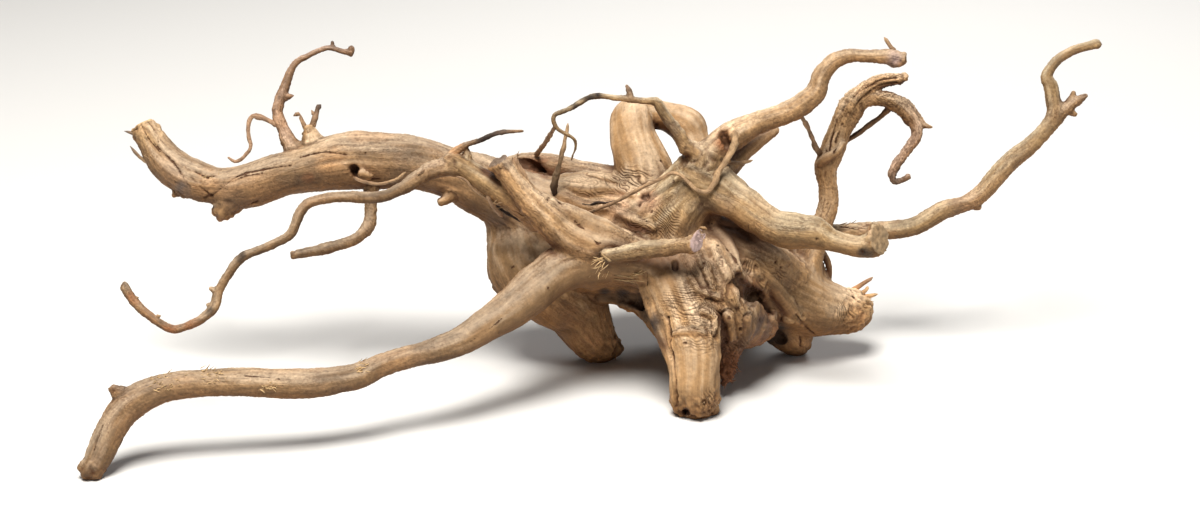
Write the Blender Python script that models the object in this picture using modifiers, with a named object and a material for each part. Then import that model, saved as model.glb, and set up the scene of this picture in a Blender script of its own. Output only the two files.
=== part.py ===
# Spiderwood root: the washed and dried root of an azalea bush, grown as one piece.
#
# The root stands on five feet under one gnarled crown. Heavy limbs, forked prongs and thin
# curling twigs leave the crown to both sides. All of it is one solid, because it grew as one.
#
# Every limb is a round tube whose thickness changes along a route. The routes are drawn as seen
# from the front, from a little above: each point is (across, up, behind, radius) in steps of
# the drawing, where across runs to the viewer's right, up runs up the viewer's sight, behind runs
# away from the viewer and radius is half the wood's thickness there.
import math

import bmesh
import bpy
import numpy as np
from mathutils import Vector

# Driving dimensions, in metres and degrees
SPAN = 0.742  # width of the root from its left tip to its right tip
SPAN_STEPS = 989  # the same width in steps of the drawing
STEP = SPAN / SPAN_STEPS
VIEW_TILT = math.radians(20.0)  # how far the drawing looks down on the root
VIEW_DISTANCE = 2200  # steps from the viewer to the middle of the root
FLOOR = 128.5  # steps from the middle of the drawing down to what the root stands on
CENTRE_ACROSS = 18.0  # steps from the middle of the drawing to the middle of the root
CENTRE_BEHIND = -42.0
SIDES = 3  # bevel resolution of a limb
MERGE_SIZE = 0.0013  # size of the cells in which the limbs grow together
CURVE_CUTS = 4  # places along the curve between two points of a route
TIP_RINGS = 4  # rings of the half ball at each end of a limb
LAST_RING = 86.0  # degrees round the half ball at which its last ring lies
SMOOTH_PASSES = 4
TRIANGLES = 11200  # triangles that the finished wood may have
WELD = 0.00002
CUTTER_DEPTH = 0.1  # metres of the block that trims the feet
WOOD_COLOUR = (0.50, 0.34, 0.19, 1.0)
WOOD_ROUGHNESS = 0.72

# The crown: the thick, knotted middle from which everything grows
CROWN = {
    "crown_top": [(-40, 41, 28, 36), (-10, 48, 26, 34), (22, 44, 20, 38), (55, 31, 8, 44),
        (90, 11, 0, 42)],
    "crown_mid": [(-40, 6, 25, 40), (0, 8, 15, 42), (40, 4, 5, 42), (90, -14, 0, 42),
        (135, -19, 5, 38)],
    "crown_rear": [(-40, 16, 60, 40), (10, 21, 70, 48), (65, 16, 75, 52), (120, 1, 75, 50),
        (165, -19, 72, 42)],
    "left_mass": [(-73, 6, 30, 41), (-65, -12, 32, 45), (-51, -28, 40, 39), (-26, -49, 54, 32),
        (-13, -72, 66, 26), (-1, -88, 77, 19.5)],
    "left_cheek": [(-97, 36, 25, 18), (-92, 11, 30, 21), (-90, -14, 32, 21), (-86, -27, 34, 20)],
    "cave_roof": [(-15, -26, 40, 20), (12, -28, 25, 19), (36, -36, 12, 17)],
    "front_bridge": [(-10, -8, -40, 23), (15, -9, -42, 21), (40, -12, -42, 21), (62, -20, -42, 25)],
    "inner_wall": [(18, -9, 25, 30), (47, -28, 15, 28), (67, -58, 0, 23), (80, -84, -20, 20)],
    "burl": [(105, -6, -30, 30), (115, -34, -34, 34), (128, -56, -30, 32), (142, -70, -16, 26),
        (161, -67, 0, 22)],
    "ridge": [(118, 16, -14, 19), (140, 6, -8, 22), (166, -8, 6, 24), (190, -26, 26, 28)],
    "right_lobe": [(145, -19, 30, 38), (178, -36, 48, 36), (208, -48, 62, 31), (233, -53.5, 72, 25),
        (248, -54.5, 77, 22), (256, -53, 79, 15.5)],
    "lobe_back": [(210, -12, 66, 14), (214, -26, 70, 15)],
}

# The feet and what hangs between them
FEET = {
    "left_heel": [(-6, -82, 70, 20), (11, -91, 81, 11.5)],
    "front_leg": [(68, -6, -28, 32), (78, -34, -40, 34), (88, -62, -50, 32), (94.5, -89, -57, 27.5),
        (95.5, -116, -59, 25.5), (95, -137, -56, 24.5), (98, -147, -52, 18)],
    "leg_strand": [(48, -12, -42, 14), (57, -42, -50, 14), (66, -74, -57, 13), (76.5, -109, -62, 8.5),
        (78, -134, -62, 8.5), (80, -147, -58, 8.5)],
    "leg_toe": [(102, -142, -56, 14), (113, -153, -50, 7)],
    "leg_corner": [(88, -134, -56, 17), (83, -146, -51, 12)],
    "burl_tail": [(126, -79, -22, 22), (127, -100, -18, 14), (127, -114, -16, 10),
        (124, -124, -15, 5.5)],
    "lobe_foot": [(176, -58, 70, 29), (189, -73, 80, 23), (196, -84, 90, 16), (197, -89.5, 94, 11)],
    "rear_foot": [(120, -14, 105, 42), (135, -39, 130, 30), (142, -57, 145, 22), (144, -66, 152, 14)],
}

# Roots that run down over the back of the crown
BACK = {
    "back_root_a": [(40, 86, 50, 20), (32, 68, 86, 20), (26, 40, 112, 20), (32, 4, 122, 18),
        (62, -24, 126, 16), (102, -40, 132, 17)],
    "back_root_b": [(-30, 78, 58, 15), (-12, 58, 92, 17), (-2, 26, 112, 18), (-10, -10, 106, 20),
        (-15, -48, 88, 21), (-6, -74, 76, 18)],
    "back_root_c": [(112, 46, 76, 20), (112, 18, 116, 21), (124, -14, 130, 20), (139, -45, 142, 18)],
    "back_root_d": [(-24, -34, 98, 11), (20, -31, 118, 9), (60, -40, 128, 8), (106, -54, 136, 10)],
    "back_root_e": [(70, 62, 84, 15), (74, 28, 122, 13), (92, 2, 130, 12), (106, -22, 134, 12)],
    "back_root_f": [(150, 10, 92, 16), (160, -18, 106, 15), (176, -48, 102, 16), (190, -74, 92, 16)],
    "back_stub": [(56, 24, 106, 21), (62, 40, 130, 14), (66, 50, 146, 10)],
    "back_knot": [(4, 2, 112, 15), (-2, 6, 126, 9)],
}

# The heavy limbs and their forks
LIMBS = {
    "great_limb": [(-40, 34, 28, 42), (-80, 52, 22, 34), (-116, 69, 14, 29), (-148, 83, 8, 26.5),
        (-178, 91.5, 2, 26.3), (-215, 94.5, -3, 28), (-250, 95.5, -7, 27.7), (-282, 91, -10, 25),
        (-315, 83, -12, 22.5), (-350, 72, -13, 21.5), (-378, 70, -13, 17.5), (-400, 74, -12, 19),
        (-418, 82, -11, 19), (-433, 94, -9, 17.8), (-443.5, 107.5, -7, 16.3),
        (-452.5, 121.5, -5, 14.5), (-456.5, 128, -4, 13)],
    "limb_cone": [(-285, 104, -8, 15), (-288.5, 117, -8, 10), (-290.5, 127, -8, 5.8)],
    "under_knob": [(-369, 58, -12, 15), (-376.5, 46.5, -12, 11)],
    "bark_knob": [(-416, 70, -14, 11), (-418, 65, -15, 8)],
    "under_spur": [(-145, 66, -2, 10), (-153, 57.5, -6, 6.2), (-159, 54, -8, 4.4)],
    "rear_log": [(-100, 76, 45, 20), (-75, 87, 48, 16), (-52, 88.5, 50, 14.5), (-25, 82.5, 50, 14),
        (5, 76, 46, 15.8), (35, 61, 36, 26)],
    "arm": [(-60, 41, -52, 17), (-80, 54, -56, 14), (-100, 66, -60, 12.5), (-120, 78, -64, 11.5),
        (-137, 89, -67, 10.5), (-148, 95, -69, 9)],
    "arm_spur": [(-135, 89, -67, 8), (-133, 99, -68, 5), (-133, 107, -69, 2.5)],
    "front_stub": [(-101, 92, -78, 8.5), (-92, 83, -77, 10), (-82, 69, -75, 11.5),
        (-68, 53, -72, 13.5), (-51, 36, -69, 15.5), (-33, 20, -65, 17), (-10, 10, -60, 17),
        (15, 4, -52, 17), (45, -6, -40, 20)],
    "stub_strand": [(-59, 60, -66, 5), (-40, 47, -65, 8), (-20, 36, -61, 11), (0, 26, -57, 12),
        (20, 17, -51, 12), (40, 6, -44, 13), (60, -6, -34, 16)],
    "front_long": [(22, -6, -30, 25), (-8, -4, -42, 25), (-37, -12, -52, 24.5), (-62, -30, -63, 22.3),
        (-87, -51.5, -74, 20), (-112, -69.5, -86, 17), (-138, -84.5, -97, 14.5), (-164, -94, -108, 13),
        (-194, -102, -118, 11.5), (-218, -109.5, -126, 11.5), (-240, -119.5, -134, 13.2),
        (-260, -124, -140, 13.7), (-285, -127.5, -147, 15), (-310, -128, -153, 15.2),
        (-340, -127, -159, 14.5), (-368, -126.5, -164, 14), (-395, -127, -168, 14.6),
        (-420, -128.5, -171, 15), (-442, -133.5, -174, 15.5), (-462, -142.5, -177, 16.8),
        (-478, -156, -179, 16.5), (-489.5, -175, -181, 15.3), (-498.5, -195, -183, 14),
        (-506.5, -210, -184, 12.6), (-509, -213.5, -184, 11)],
    "long_spur": [(-470, -146, -180, 11), (-480, -138, -181, 8.5), (-486.5, -133, -181, 5)],
    "front_twig": [(6, -1, -66, 6), (22, 2, -76, 7), (50, 6, -84, 8), (75, 9.5, -88, 7.5),
        (92, 12, -90, 9), (98, 14, -90, 8)],
    "twig_knob": [(94, 15, -90, 6), (100, 23, -91, 4.5), (103, 26, -91, 4)],
    "arch": [(48, 51, 16, 36), (45, 72, 20, 29.5), (41, 92, 23, 25.7), (34, 115, 27, 23.7),
        (31, 134, 33, 22), (37, 141.5, 38, 16.5), (50, 141.5, 42, 15.5), (68, 139, 52, 14.8),
        (87, 130, 58, 18.5), (94, 115, 56, 17), (103, 94, 44, 15), (106, 66, 24, 24)],
    "y_trunk": [(58, 8, -4, 42), (72, 34, -14, 38), (89, 59, -24, 31), (102, 80, -32, 23),
        (109, 96, -37, 17)],
    "y_knob": [(105, 96, -38, 14), (94, 105, -43, 9.5), (87, 108, -45, 8)],
    "upper_right": [(106, 97, -37, 14), (117, 109, -38, 14.5), (132, 120.5, -36, 14.3),
        (150, 130, -32, 12.3), (170, 137.5, -28, 11), (190, 144.5, -24, 11.3), (204, 152.5, -21, 11.3),
        (216, 163.5, -19, 10.4), (219.5, 176, -18, 9.6), (225.5, 186.5, -18, 9.2),
        (236, 196, -19, 8.2), (250, 200.5, -20, 7.3), (266, 200, -21, 6.8), (280, 199.5, -23, 7.4),
        (291, 199, -24, 8.6), (298.5, 197, -24, 8.3)],
    "right_arm": [(100, 74, -30, 27), (123, 61, -38, 23.5), (143, 49.7, -43, 19.7), (159, 38, -46, 18),
        (176, 28, -48, 17.2), (198, 25, -51, 17.3), (215, 24, -53, 16.2), (228, 18, -55, 12),
        (244, 12.7, -57, 10.2), (260, 9.7, -59, 10.7), (272, 11.5, -61, 13.3), (277.5, 16, -63, 14),
        (279, 21, -63, 12)],
    "rear_stub": [(122, 89, -16, 16), (141, 104, -4, 11), (156, 115, 6, 8.8), (168, 122.7, 14, 7.3),
        (174, 127, 18, 6)],
    "vertical_limb": [(198, -44, 56, 27), (204, -21, 53, 19), (211, 4, 49, 13.5), (220, 26, 46, 10.5),
        (227.5, 46, 45, 10), (229, 61, 45, 9.7), (227.5, 76, 44, 9.7), (226, 90, 43, 11.8),
        (232.5, 106, 42, 12.4), (239, 124, 41, 12), (245.5, 139, 40, 12.8), (252.5, 151.5, 39, 11.7)],
    "upper_prong": [(248, 147, 39, 11), (257, 159.5, 38, 9.5), (269, 168.7, 37, 8.3),
        (281, 175, 36, 7.5), (293, 176.5, 35, 6.8), (303, 177.7, 34, 5.6)],
    "lower_prong": [(247, 138, 40, 9), (256, 150, 39, 7.7), (269, 156.7, 38, 7.4),
        (284, 157.2, 36, 8.2), (298, 152, 34, 9.2), (307, 145.5, 32, 9), (318, 135, 31, 5.5),
        (326, 130, 30, 3), (332, 129, 30, 1.5)],
    "prong_hook": [(309.5, 141, 32, 8.3), (316.5, 129, 30, 6.4), (315.5, 118, 28, 5.7),
        (308.5, 108.3, 26, 5), (301.5, 98.5, 25, 4.9), (295.5, 89.3, 24, 5.1), (292, 81.3, 23, 4.8),
        (295, 74.5, 22, 3.4), (302, 76, 21, 3.2), (308.5, 79.3, 20, 3.2)],
    "far_right": [(162, -6, 70, 26), (200, 12, 76, 14), (232, 22, 77, 9.5), (262, 25.3, 76, 8.8),
        (292, 26.5, 75, 9.1), (316, 30.5, 73, 9), (340, 44.3, 71, 9.7), (359.5, 50.7, 69, 8),
        (371.5, 55.3, 68, 8.5), (384, 65.3, 66, 9.1), (396, 79.2, 64, 9.6), (409.8, 94.3, 62, 9.8),
        (429.8, 110.3, 59, 8.6), (445.5, 126, 57, 8), (455, 142, 55, 8.5), (453, 158, 54, 7.8),
        (450.3, 171, 53, 7.2), (446.3, 179, 53, 6), (452, 190, 52, 5.5), (461.3, 199, 51, 5),
        (475.3, 206.3, 50, 4.9), (489.5, 210.3, 49, 4.9), (497, 212, 49, 4.6)],
    "far_knee": [(372, 55, 68, 7), (378, 50, 68, 4.5)],
    "far_spur": [(456, 141, 55, 8), (466, 147.7, 53, 7), (477, 155, 51, 5), (485, 160, 50, 3)],
}

# The thin twigs, root hairs and spikes
TWIGS = {
    "curly": [(-140, 88, -67, 9.5), (-158, 88, -69, 9), (-174, 83, -71, 8.5), (-189, 73, -73, 7.5),
        (-204, 64.5, -75, 6.5), (-221, 59, -76, 6), (-241, 58.7, -77, 5.9), (-261, 59, -78, 5.5),
        (-279, 56.5, -79, 5.4), (-292.5, 52.5, -80, 5.6), (-300.5, 42.5, -81, 5.4),
        (-305, 30.5, -82, 5.3), (-312, 19.5, -83, 4.8), (-329.5, 10.5, -85, 4.6),
        (-345, 4.3, -86, 4.5), (-357, -0.5, -87, 4.9), (-366.5, -10.5, -88, 5.2),
        (-375, -23.5, -89, 4.7), (-382, -36.5, -90, 4.7), (-385.5, -50.5, -91, 5.2),
        (-395.5, -61, -92, 5), (-410, -69, -93, 4.3), (-426, -73.3, -94, 4.3), (-440, -67.5, -94, 4.3),
        (-453.5, -57.5, -94, 4.5), (-465.5, -46, -94, 4.9), (-472.5, -36, -94, 4.8),
        (-476, -30, -94, 4.2)],
    "curly_bud_a": [(-383, -35, -90, 4), (-389, -32.5, -90, 2.6)],
    "curly_bud_b": [(-386, -50, -91, 4), (-392, -49, -91, 2.2)],
    "dark_twig": [(-155, 93, -69, 6.5), (-146, 103, -70, 4.6), (-134, 111, -72, 3.4),
        (-120, 115.5, -74, 2.6), (-108, 121, -76, 3), (-95, 124.3, -77, 2.5), (-85, 124.5, -78, 2),
        (-77, 125, -78, 1.4)],
    "tip_thread": [(296, 203, -24, 3), (289.5, 211, -24, 2), (284, 219, -24, 1.2)],
    "hook_twig": [(86, 107, -45, 7.5), (81.5, 117.5, -47, 6.8), (74.5, 127.5, -49, 6),
        (67, 138, -51, 5.4), (60.5, 148.5, -53, 4.8), (56, 154.5, -54, 4.3), (43, 155, -55, 3.3),
        (28, 157, -56, 3.6), (12, 158.5, -57, 3.1), (0, 160, -58, 3), (-12, 158, -60, 3.2),
        (-23, 151.7, -62, 3.2), (-34, 145.7, -64, 3), (-43.5, 142.5, -65, 2.9), (-46.7, 138, -65, 2.7),
        (-45, 131, -64, 2.4), (-40, 125, -62, 2.3), (-32, 121, -60, 2.1), (-25, 115.7, -57, 2.1),
        (-24, 108.7, -54, 2.1), (-27, 101, -50, 1.9), (-28.5, 96, -47, 1.7)],
    "hook_spur": [(31, 158, -56, 3.6), (29, 165, -56, 3.1), (27, 169.5, -56, 2)],
    "loop_root": [(134, 125, -50, 4.5), (135, 116, -54, 4), (131, 104, -58, 3.6), (124, 93, -61, 3.2),
        (118, 83, -62, 3), (113, 71, -62, 2.8), (106, 64, -61, 2), (95, 67, -60, 1.8),
        (88, 74, -58, 1.8), (80, 81, -55, 2), (72, 83, -53, 2), (60, 77, -50, 1.8), (45, 70, -46, 1.8),
        (30, 62, -42, 1.8), (15, 54, -38, 1.8), (0, 48, -33, 1.8), (-14, 42, -26, 1.8)],
    "prong_twig": [(243, 113, 50, 3.2), (258, 122.5, 54, 2.9), (270, 131.7, 54, 3),
        (280, 138.7, 51, 3), (289, 147.5, 44, 3.2)],
    "bridge_twig": [(201, 140, -18, 2), (207.3, 129.5, -2, 2.2), (212, 118.5, 14, 2.3),
        (216, 108, 28, 2.7), (220.5, 101, 38, 3)],
    "far_bud_a": [(467, 146, 53, 5), (474, 142, 53, 2.6)],
    "far_bud_b": [(469, 153, 52, 4.6), (473.5, 162.5, 52, 2.4)],
    "curved_twig": [(-305, 105, -10, 9.5), (-311.5, 115, -8, 7.8), (-316, 125, -6, 6.3),
        (-320.7, 135, -4, 5.7), (-322.5, 145, -2, 5.6), (-320.5, 155, 0, 5.5), (-316.5, 165, 2, 5.3),
        (-313, 175, 4, 5), (-309.5, 185, 6, 4.4), (-303.5, 194, 8, 3.8), (-294.5, 199, 10, 3.1),
        (-284.5, 204, 12, 2.9), (-275, 207.7, 14, 2.9), (-267, 207.7, 15, 3), (-258, 204.7, 16, 2.6),
        (-249, 203.7, 16, 3.4)],
    "twig_stub": [(-316, 158, 1, 4), (-311, 159.5, 0, 3.4), (-307, 160.5, -1, 2.2)],
    "curl_twig": [(-321, 130, -5, 3.8), (-330.5, 135.2, -7, 2.9), (-340, 138.5, -9, 2.8),
        (-347.5, 140, -10, 2.5), (-350.7, 135.5, -11, 2.3), (-352, 126, -12, 2.1),
        (-350.7, 116, -13, 2.1), (-349.7, 108, -14, 2.1), (-353.5, 102, -15, 1.9),
        (-359, 96.5, -16, 1.9), (-365, 94.3, -17, 1.8), (-370, 97, -18, 1.6), (-372.5, 99, -18, 1.4)],
    "cone_twig_a": [(-293.5, 126, -8, 2.7), (-297.5, 134.5, -8, 2.3), (-300.7, 142, -8, 2.2),
        (-306.7, 140, -9, 1.9)],
    "cone_twig_b": [(-289, 127, -8, 3.2), (-285, 138.5, -8, 2.9), (-282, 147, -7, 2.9),
        (-279, 151.5, -7, 2.8)],
    "hanging_branch": [(-227.5, 76, -8, 9), (-229.5, 59, -12, 6.8), (-229.5, 43, -15, 6.2),
        (-232.5, 29, -18, 7), (-242.5, 18.7, -22, 5.7), (-255, 13, -26, 5.5), (-270, 9, -30, 5.6),
        (-285, 5, -34, 5.2), (-300, 2, -37, 4.9), (-305.5, 1, -38, 4.4)],
    "hang_twig": [(-32, 133, -22, 1.8), (-34, 121, -22, 2.2), (-37, 106, -21, 2.5),
        (-41, 91, -19, 2.4), (-44, 81, -16, 3), (-46, 70, -12, 3.8), (-46, 60, -6, 3)],
    "pink_twig": [(-44.5, 131, -62, 2), (-51, 119, -30, 2.3), (-58, 109, 5, 2.4), (-64, 101, 40, 2.4)],
    "lobe_strip": [(219, 8, 58, 3), (227, -4, 62, 3.2), (229.5, -16, 66, 3), (228, -28, 70, 2.8)],
    "spike_a": [(246, -37, 74, 4), (260, -30, 72, 2.4), (273, -21, 70, 1.4)],
    "spike_b": [(254, -44, 77, 6), (266, -41, 76, 3), (278, -38, 75, 1.5)],
    "spike_c": [(258, -40, 76, 4), (266, -34, 74, 2.2), (268, -30, 73, 1.2)],
}


def place(across, up, behind):
    """World position of a point of the drawing; what lies further behind is drawn smaller."""
    grow = 1.0 + behind / VIEW_DISTANCE
    sine, cosine = math.sin(VIEW_TILT), math.cos(VIEW_TILT)
    x = across * grow - CENTRE_ACROSS
    y = up * grow * sine + behind * cosine - CENTRE_BEHIND
    z = up * grow * cosine - behind * sine + FLOOR
    return Vector((x, y, z)) * STEP


def real_radius(behind, radius):
    return radius * (1.0 + behind / VIEW_DISTANCE) * STEP


def through(before, start, end, after, share):
    """Point on the smooth curve from start to end that also heeds its two outer neighbours."""
    return 0.5 * (
        2.0 * start
        + (end - before) * share
        + (2.0 * before - 5.0 * start + 4.0 * end - after) * share**2
        + (3.0 * start - before - 3.0 * end + after) * share**3
    )


def smooth_route(route):
    """Places and radii along a smooth curve through the route's own points."""
    points = []
    for across, up, behind, radius in route:
        points.append([*place(across, up, behind), real_radius(behind, radius)])
    points = np.array(points)
    padded = np.vstack([2 * points[0] - points[1], points, 2 * points[-1] - points[-2]])
    dense = []
    for i in range(1, len(padded) - 2):
        for cut in range(CURVE_CUTS):
            dense.append(through(*padded[i - 1 : i + 3], cut / CURVE_CUTS))
    dense.append(points[-1])
    return np.array(dense)


def round_ends(dense):
    """Carry the tube on past both ends as half a ball: radius r cos(a) at r sin(a) beyond."""
    start, end = dense[0], dense[-1]
    out_start = (start - dense[1])[:3]
    out_end = (end - dense[-2])[:3]
    out_start /= np.linalg.norm(out_start)
    out_end /= np.linalg.norm(out_end)
    head, tail = [], []
    for ring in range(1, TIP_RINGS + 1):
        angle = math.radians(LAST_RING) * ring / TIP_RINGS
        reach, girth = math.sin(angle), math.cos(angle)
        head.insert(0, [*(start[:3] + out_start * start[3] * reach), start[3] * girth])
        tail.append([*(end[:3] + out_end * end[3] * reach), end[3] * girth])
    return np.vstack([head, dense, tail])


def add_limb(curve, route):
    """One limb: a spline whose points carry the wood's thickness."""
    dense = round_ends(smooth_route(route))
    spline = curve.splines.new("POLY")
    spline.points.add(len(dense) - 1)
    for point, (x, y, z, radius) in zip(spline.points, dense):
        point.co = (x, y, z, 1.0)
        point.radius = radius


def make_collection(name):
    collection = bpy.data.collections.new(name)
    bpy.context.scene.collection.children.link(collection)
    return collection


def evaluated_mesh(thing):
    graph = bpy.context.evaluated_depsgraph_get()
    return bpy.data.meshes.new_from_object(thing.evaluated_get(graph))


def wood_material():
    material = bpy.data.materials.new("spiderwood")
    material.use_nodes = True
    shader = material.node_tree.nodes["Principled BSDF"]
    shader.inputs["Base Color"].default_value = WOOD_COLOUR
    shader.inputs["Roughness"].default_value = WOOD_ROUGHNESS
    shader.inputs["Metallic"].default_value = 0.0
    return material


def grown_mesh(collection):
    """The mesh of all limbs grown into one another, with the creases between them softened."""
    curve = bpy.data.curves.new("limbs", "CURVE")
    curve.dimensions = "3D"
    curve.bevel_depth = 1.0
    curve.bevel_resolution = SIDES
    curve.use_fill_caps = True
    for group in (CROWN, FEET, BACK, LIMBS, TWIGS):
        for route in group.values():
            add_limb(curve, route)
    drawn = bpy.data.objects.new("limbs", curve)
    collection.objects.link(drawn)
    tubes = evaluated_mesh(drawn)
    weld = bmesh.new()
    weld.from_mesh(tubes)
    bmesh.ops.remove_doubles(weld, verts=weld.verts, dist=WELD)
    weld.to_mesh(tubes)
    weld.free()
    bpy.data.objects.remove(drawn)
    grown = bpy.data.objects.new("grown", tubes)
    collection.objects.link(grown)
    merge = grown.modifiers.new("grow_together", "REMESH")
    merge.mode = "VOXEL"
    merge.voxel_size = MERGE_SIZE
    soften = grown.modifiers.new("soften", "SMOOTH")
    soften.iterations = SMOOTH_PASSES
    fine = evaluated_mesh(grown)
    bpy.data.objects.remove(grown)
    return fine


def thinned_mesh(fine, collection):
    """The same mesh with about as many triangles as the wood should have."""
    thinned = bpy.data.objects.new("thinned", fine)
    collection.objects.link(thinned)
    fewer = thinned.modifiers.new("fewer_faces", "DECIMATE")
    fewer.ratio = TRIANGLES / (2.0 * len(fine.polygons))
    mesh = evaluated_mesh(thinned)
    bpy.data.objects.remove(thinned)
    return mesh


def floor_cutter(collection):
    """A block whose top is the floor; it leaves the flat spots on which the feet stand."""
    bpy.ops.mesh.primitive_cube_add(size=1.0, location=(0.0, 0.0, -CUTTER_DEPTH / 2))
    cutter = bpy.context.object
    cutter.name = "floor_cutter"
    cutter.scale = (2 * SPAN, 2 * SPAN, CUTTER_DEPTH)
    cutter.hide_render = True
    cutter.display_type = "WIRE"
    for owner in list(cutter.users_collection):
        owner.objects.unlink(cutter)
    collection.objects.link(cutter)
    return cutter


def build():
    for thing in list(bpy.data.objects):
        bpy.data.objects.remove(thing, do_unlink=True)
    parts = make_collection("spiderwood_root")
    cutters = make_collection("cutters")
    mesh = thinned_mesh(grown_mesh(cutters), cutters)
    mesh.name = "spiderwood_root"
    root = bpy.data.objects.new("spiderwood_root", mesh)
    parts.objects.link(root)
    mesh.materials.clear()
    mesh.materials.append(wood_material())
    mesh.shade_smooth()
    stand = root.modifiers.new("flat_spots", "BOOLEAN")
    stand.operation = "DIFFERENCE"
    stand.object = floor_cutter(cutters)


build()
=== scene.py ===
# Spiderwood root: a new skin with its grain, folds and colours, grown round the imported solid.
import math
import bmesh
import bpy
import mathutils
import numpy as np
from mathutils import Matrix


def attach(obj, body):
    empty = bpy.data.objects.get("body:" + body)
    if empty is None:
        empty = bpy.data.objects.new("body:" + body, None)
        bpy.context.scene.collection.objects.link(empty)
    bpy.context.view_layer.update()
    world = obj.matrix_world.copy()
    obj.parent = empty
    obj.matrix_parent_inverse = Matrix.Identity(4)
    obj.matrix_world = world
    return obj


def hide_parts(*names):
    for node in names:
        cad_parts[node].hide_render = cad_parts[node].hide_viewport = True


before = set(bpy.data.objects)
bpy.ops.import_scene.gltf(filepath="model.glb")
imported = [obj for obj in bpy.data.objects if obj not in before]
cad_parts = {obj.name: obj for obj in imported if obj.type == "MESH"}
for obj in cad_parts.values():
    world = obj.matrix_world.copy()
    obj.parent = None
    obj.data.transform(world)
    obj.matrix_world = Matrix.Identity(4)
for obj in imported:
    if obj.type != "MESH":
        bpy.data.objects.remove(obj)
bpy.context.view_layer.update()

# The root is drawn as seen from the front, a little from above, in steps: across to the
# viewer's right, up the viewer's sight, behind away from the viewer.
drawing = {
    "span": 0.742,  # metres between the root's two tips
    "spanSteps": 989,  # the same in steps
    "tilt": 20.0,  # degrees that the viewer looks down
    "distance": 2200,  # steps from the viewer to the middle of the drawing
    "pictureWidth": 1200,  # steps that the view is wide
    "floor": 128.5,  # steps from the middle of the drawing down to the floor
    "centreAcross": 18.0,
    "centreBehind": -42.0,
}
step = drawing["span"] / drawing["spanSteps"]
mm = 0.001
sinTilt = math.sin(math.radians(drawing["tilt"]))
cosTilt = math.cos(math.radians(drawing["tilt"]))
sightRight = np.array([1.0, 0.0, 0.0])
sightUp = np.array([0.0, sinTilt, cosTilt])
sightAway = np.array([0.0, cosTilt, -sinTilt])
middle = np.array([-drawing["centreAcross"], -drawing["centreBehind"], drawing["floor"]]) * step

# Routes: each point is (across, up, behind, half the wood's thickness)
crownRoutes = {
    "crownTop": [(-40, 41, 28, 36), (-10, 48, 26, 34), (22, 44, 20, 38), (55, 31, 8, 44),
        (90, 11, 0, 42)],
    "crownMid": [(-40, 6, 25, 40), (0, 8, 15, 42), (40, 4, 5, 42), (90, -14, 0, 42),
        (135, -19, 5, 38)],
    "crownRear": [(-40, 16, 60, 40), (10, 21, 70, 48), (65, 16, 75, 52), (120, 1, 75, 50),
        (165, -19, 72, 42)],
    "leftMass": [(-73, 6, 30, 41), (-65, -12, 32, 45), (-51, -28, 40, 39), (-26, -49, 54, 32),
        (-13, -72, 66, 26), (-1, -88, 77, 19.5)],
    "leftCheek": [(-97, 36, 25, 18), (-92, 11, 30, 21), (-90, -14, 32, 21), (-86, -27, 34, 20)],
    "caveRoof": [(-15, -26, 40, 20), (12, -28, 25, 19), (36, -36, 12, 17)],
    "frontBridge": [(-10, -8, -40, 23), (15, -9, -42, 21), (40, -12, -42, 21), (62, -20, -42, 25)],
    "innerWall": [(18, -9, 25, 30), (47, -28, 15, 28), (67, -58, 0, 23), (80, -84, -20, 20)],
    "burl": [(105, -6, -30, 30), (115, -34, -34, 34), (128, -56, -30, 32), (142, -70, -8, 23),
        (161, -67, 14, 17)],
    "ridge": [(118, 16, -14, 19), (140, 6, -8, 22), (166, -8, 6, 24), (186, -26, 46, 26)],
    "rightLobe": [(145, -19, 30, 38), (178, -36, 48, 36), (208, -48, 62, 31),
        (233, -53.5, 72, 25), (248, -54.5, 77, 22), (256, -53, 79, 15.5)],
    "lobeBack": [(210, -12, 66, 14), (214, -26, 70, 15)],
}

footRoutes = {
    "leftHeel": [(-6, -82, 70, 20), (11, -91, 81, 11.5)],
    "frontLeg": [(68, -6, -28, 32), (78, -34, -40, 34), (88, -62, -50, 32),
        (94.5, -89, -57, 27.5), (95.5, -116, -59, 25.5), (95, -137, -56, 24.5),
        (98, -147, -52, 18)],
    "legStrand": [(48, -12, -42, 14), (57, -42, -50, 14), (66, -74, -57, 13),
        (76.5, -109, -62, 8.5), (78, -134, -62, 8.5), (80, -147, -58, 8.5)],
    "legToe": [(102, -142, -56, 14), (113, -153, -50, 7)],
    "legCorner": [(88, -134, -56, 17), (83, -146, -51, 12)],
    "burlTail": [(126, -79, -22, 22), (127, -100, -18, 14), (127, -114, -16, 10),
        (124, -124, -15, 5.5)],
    "lobeFoot": [(176, -58, 70, 29), (189, -73, 80, 23), (196, -84, 90, 16), (197, -89.5, 94, 11)],
    "rearFoot": [(120, -14, 105, 42), (135, -39, 130, 30), (142, -57, 145, 22),
        (144, -66, 152, 14)],
}

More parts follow.
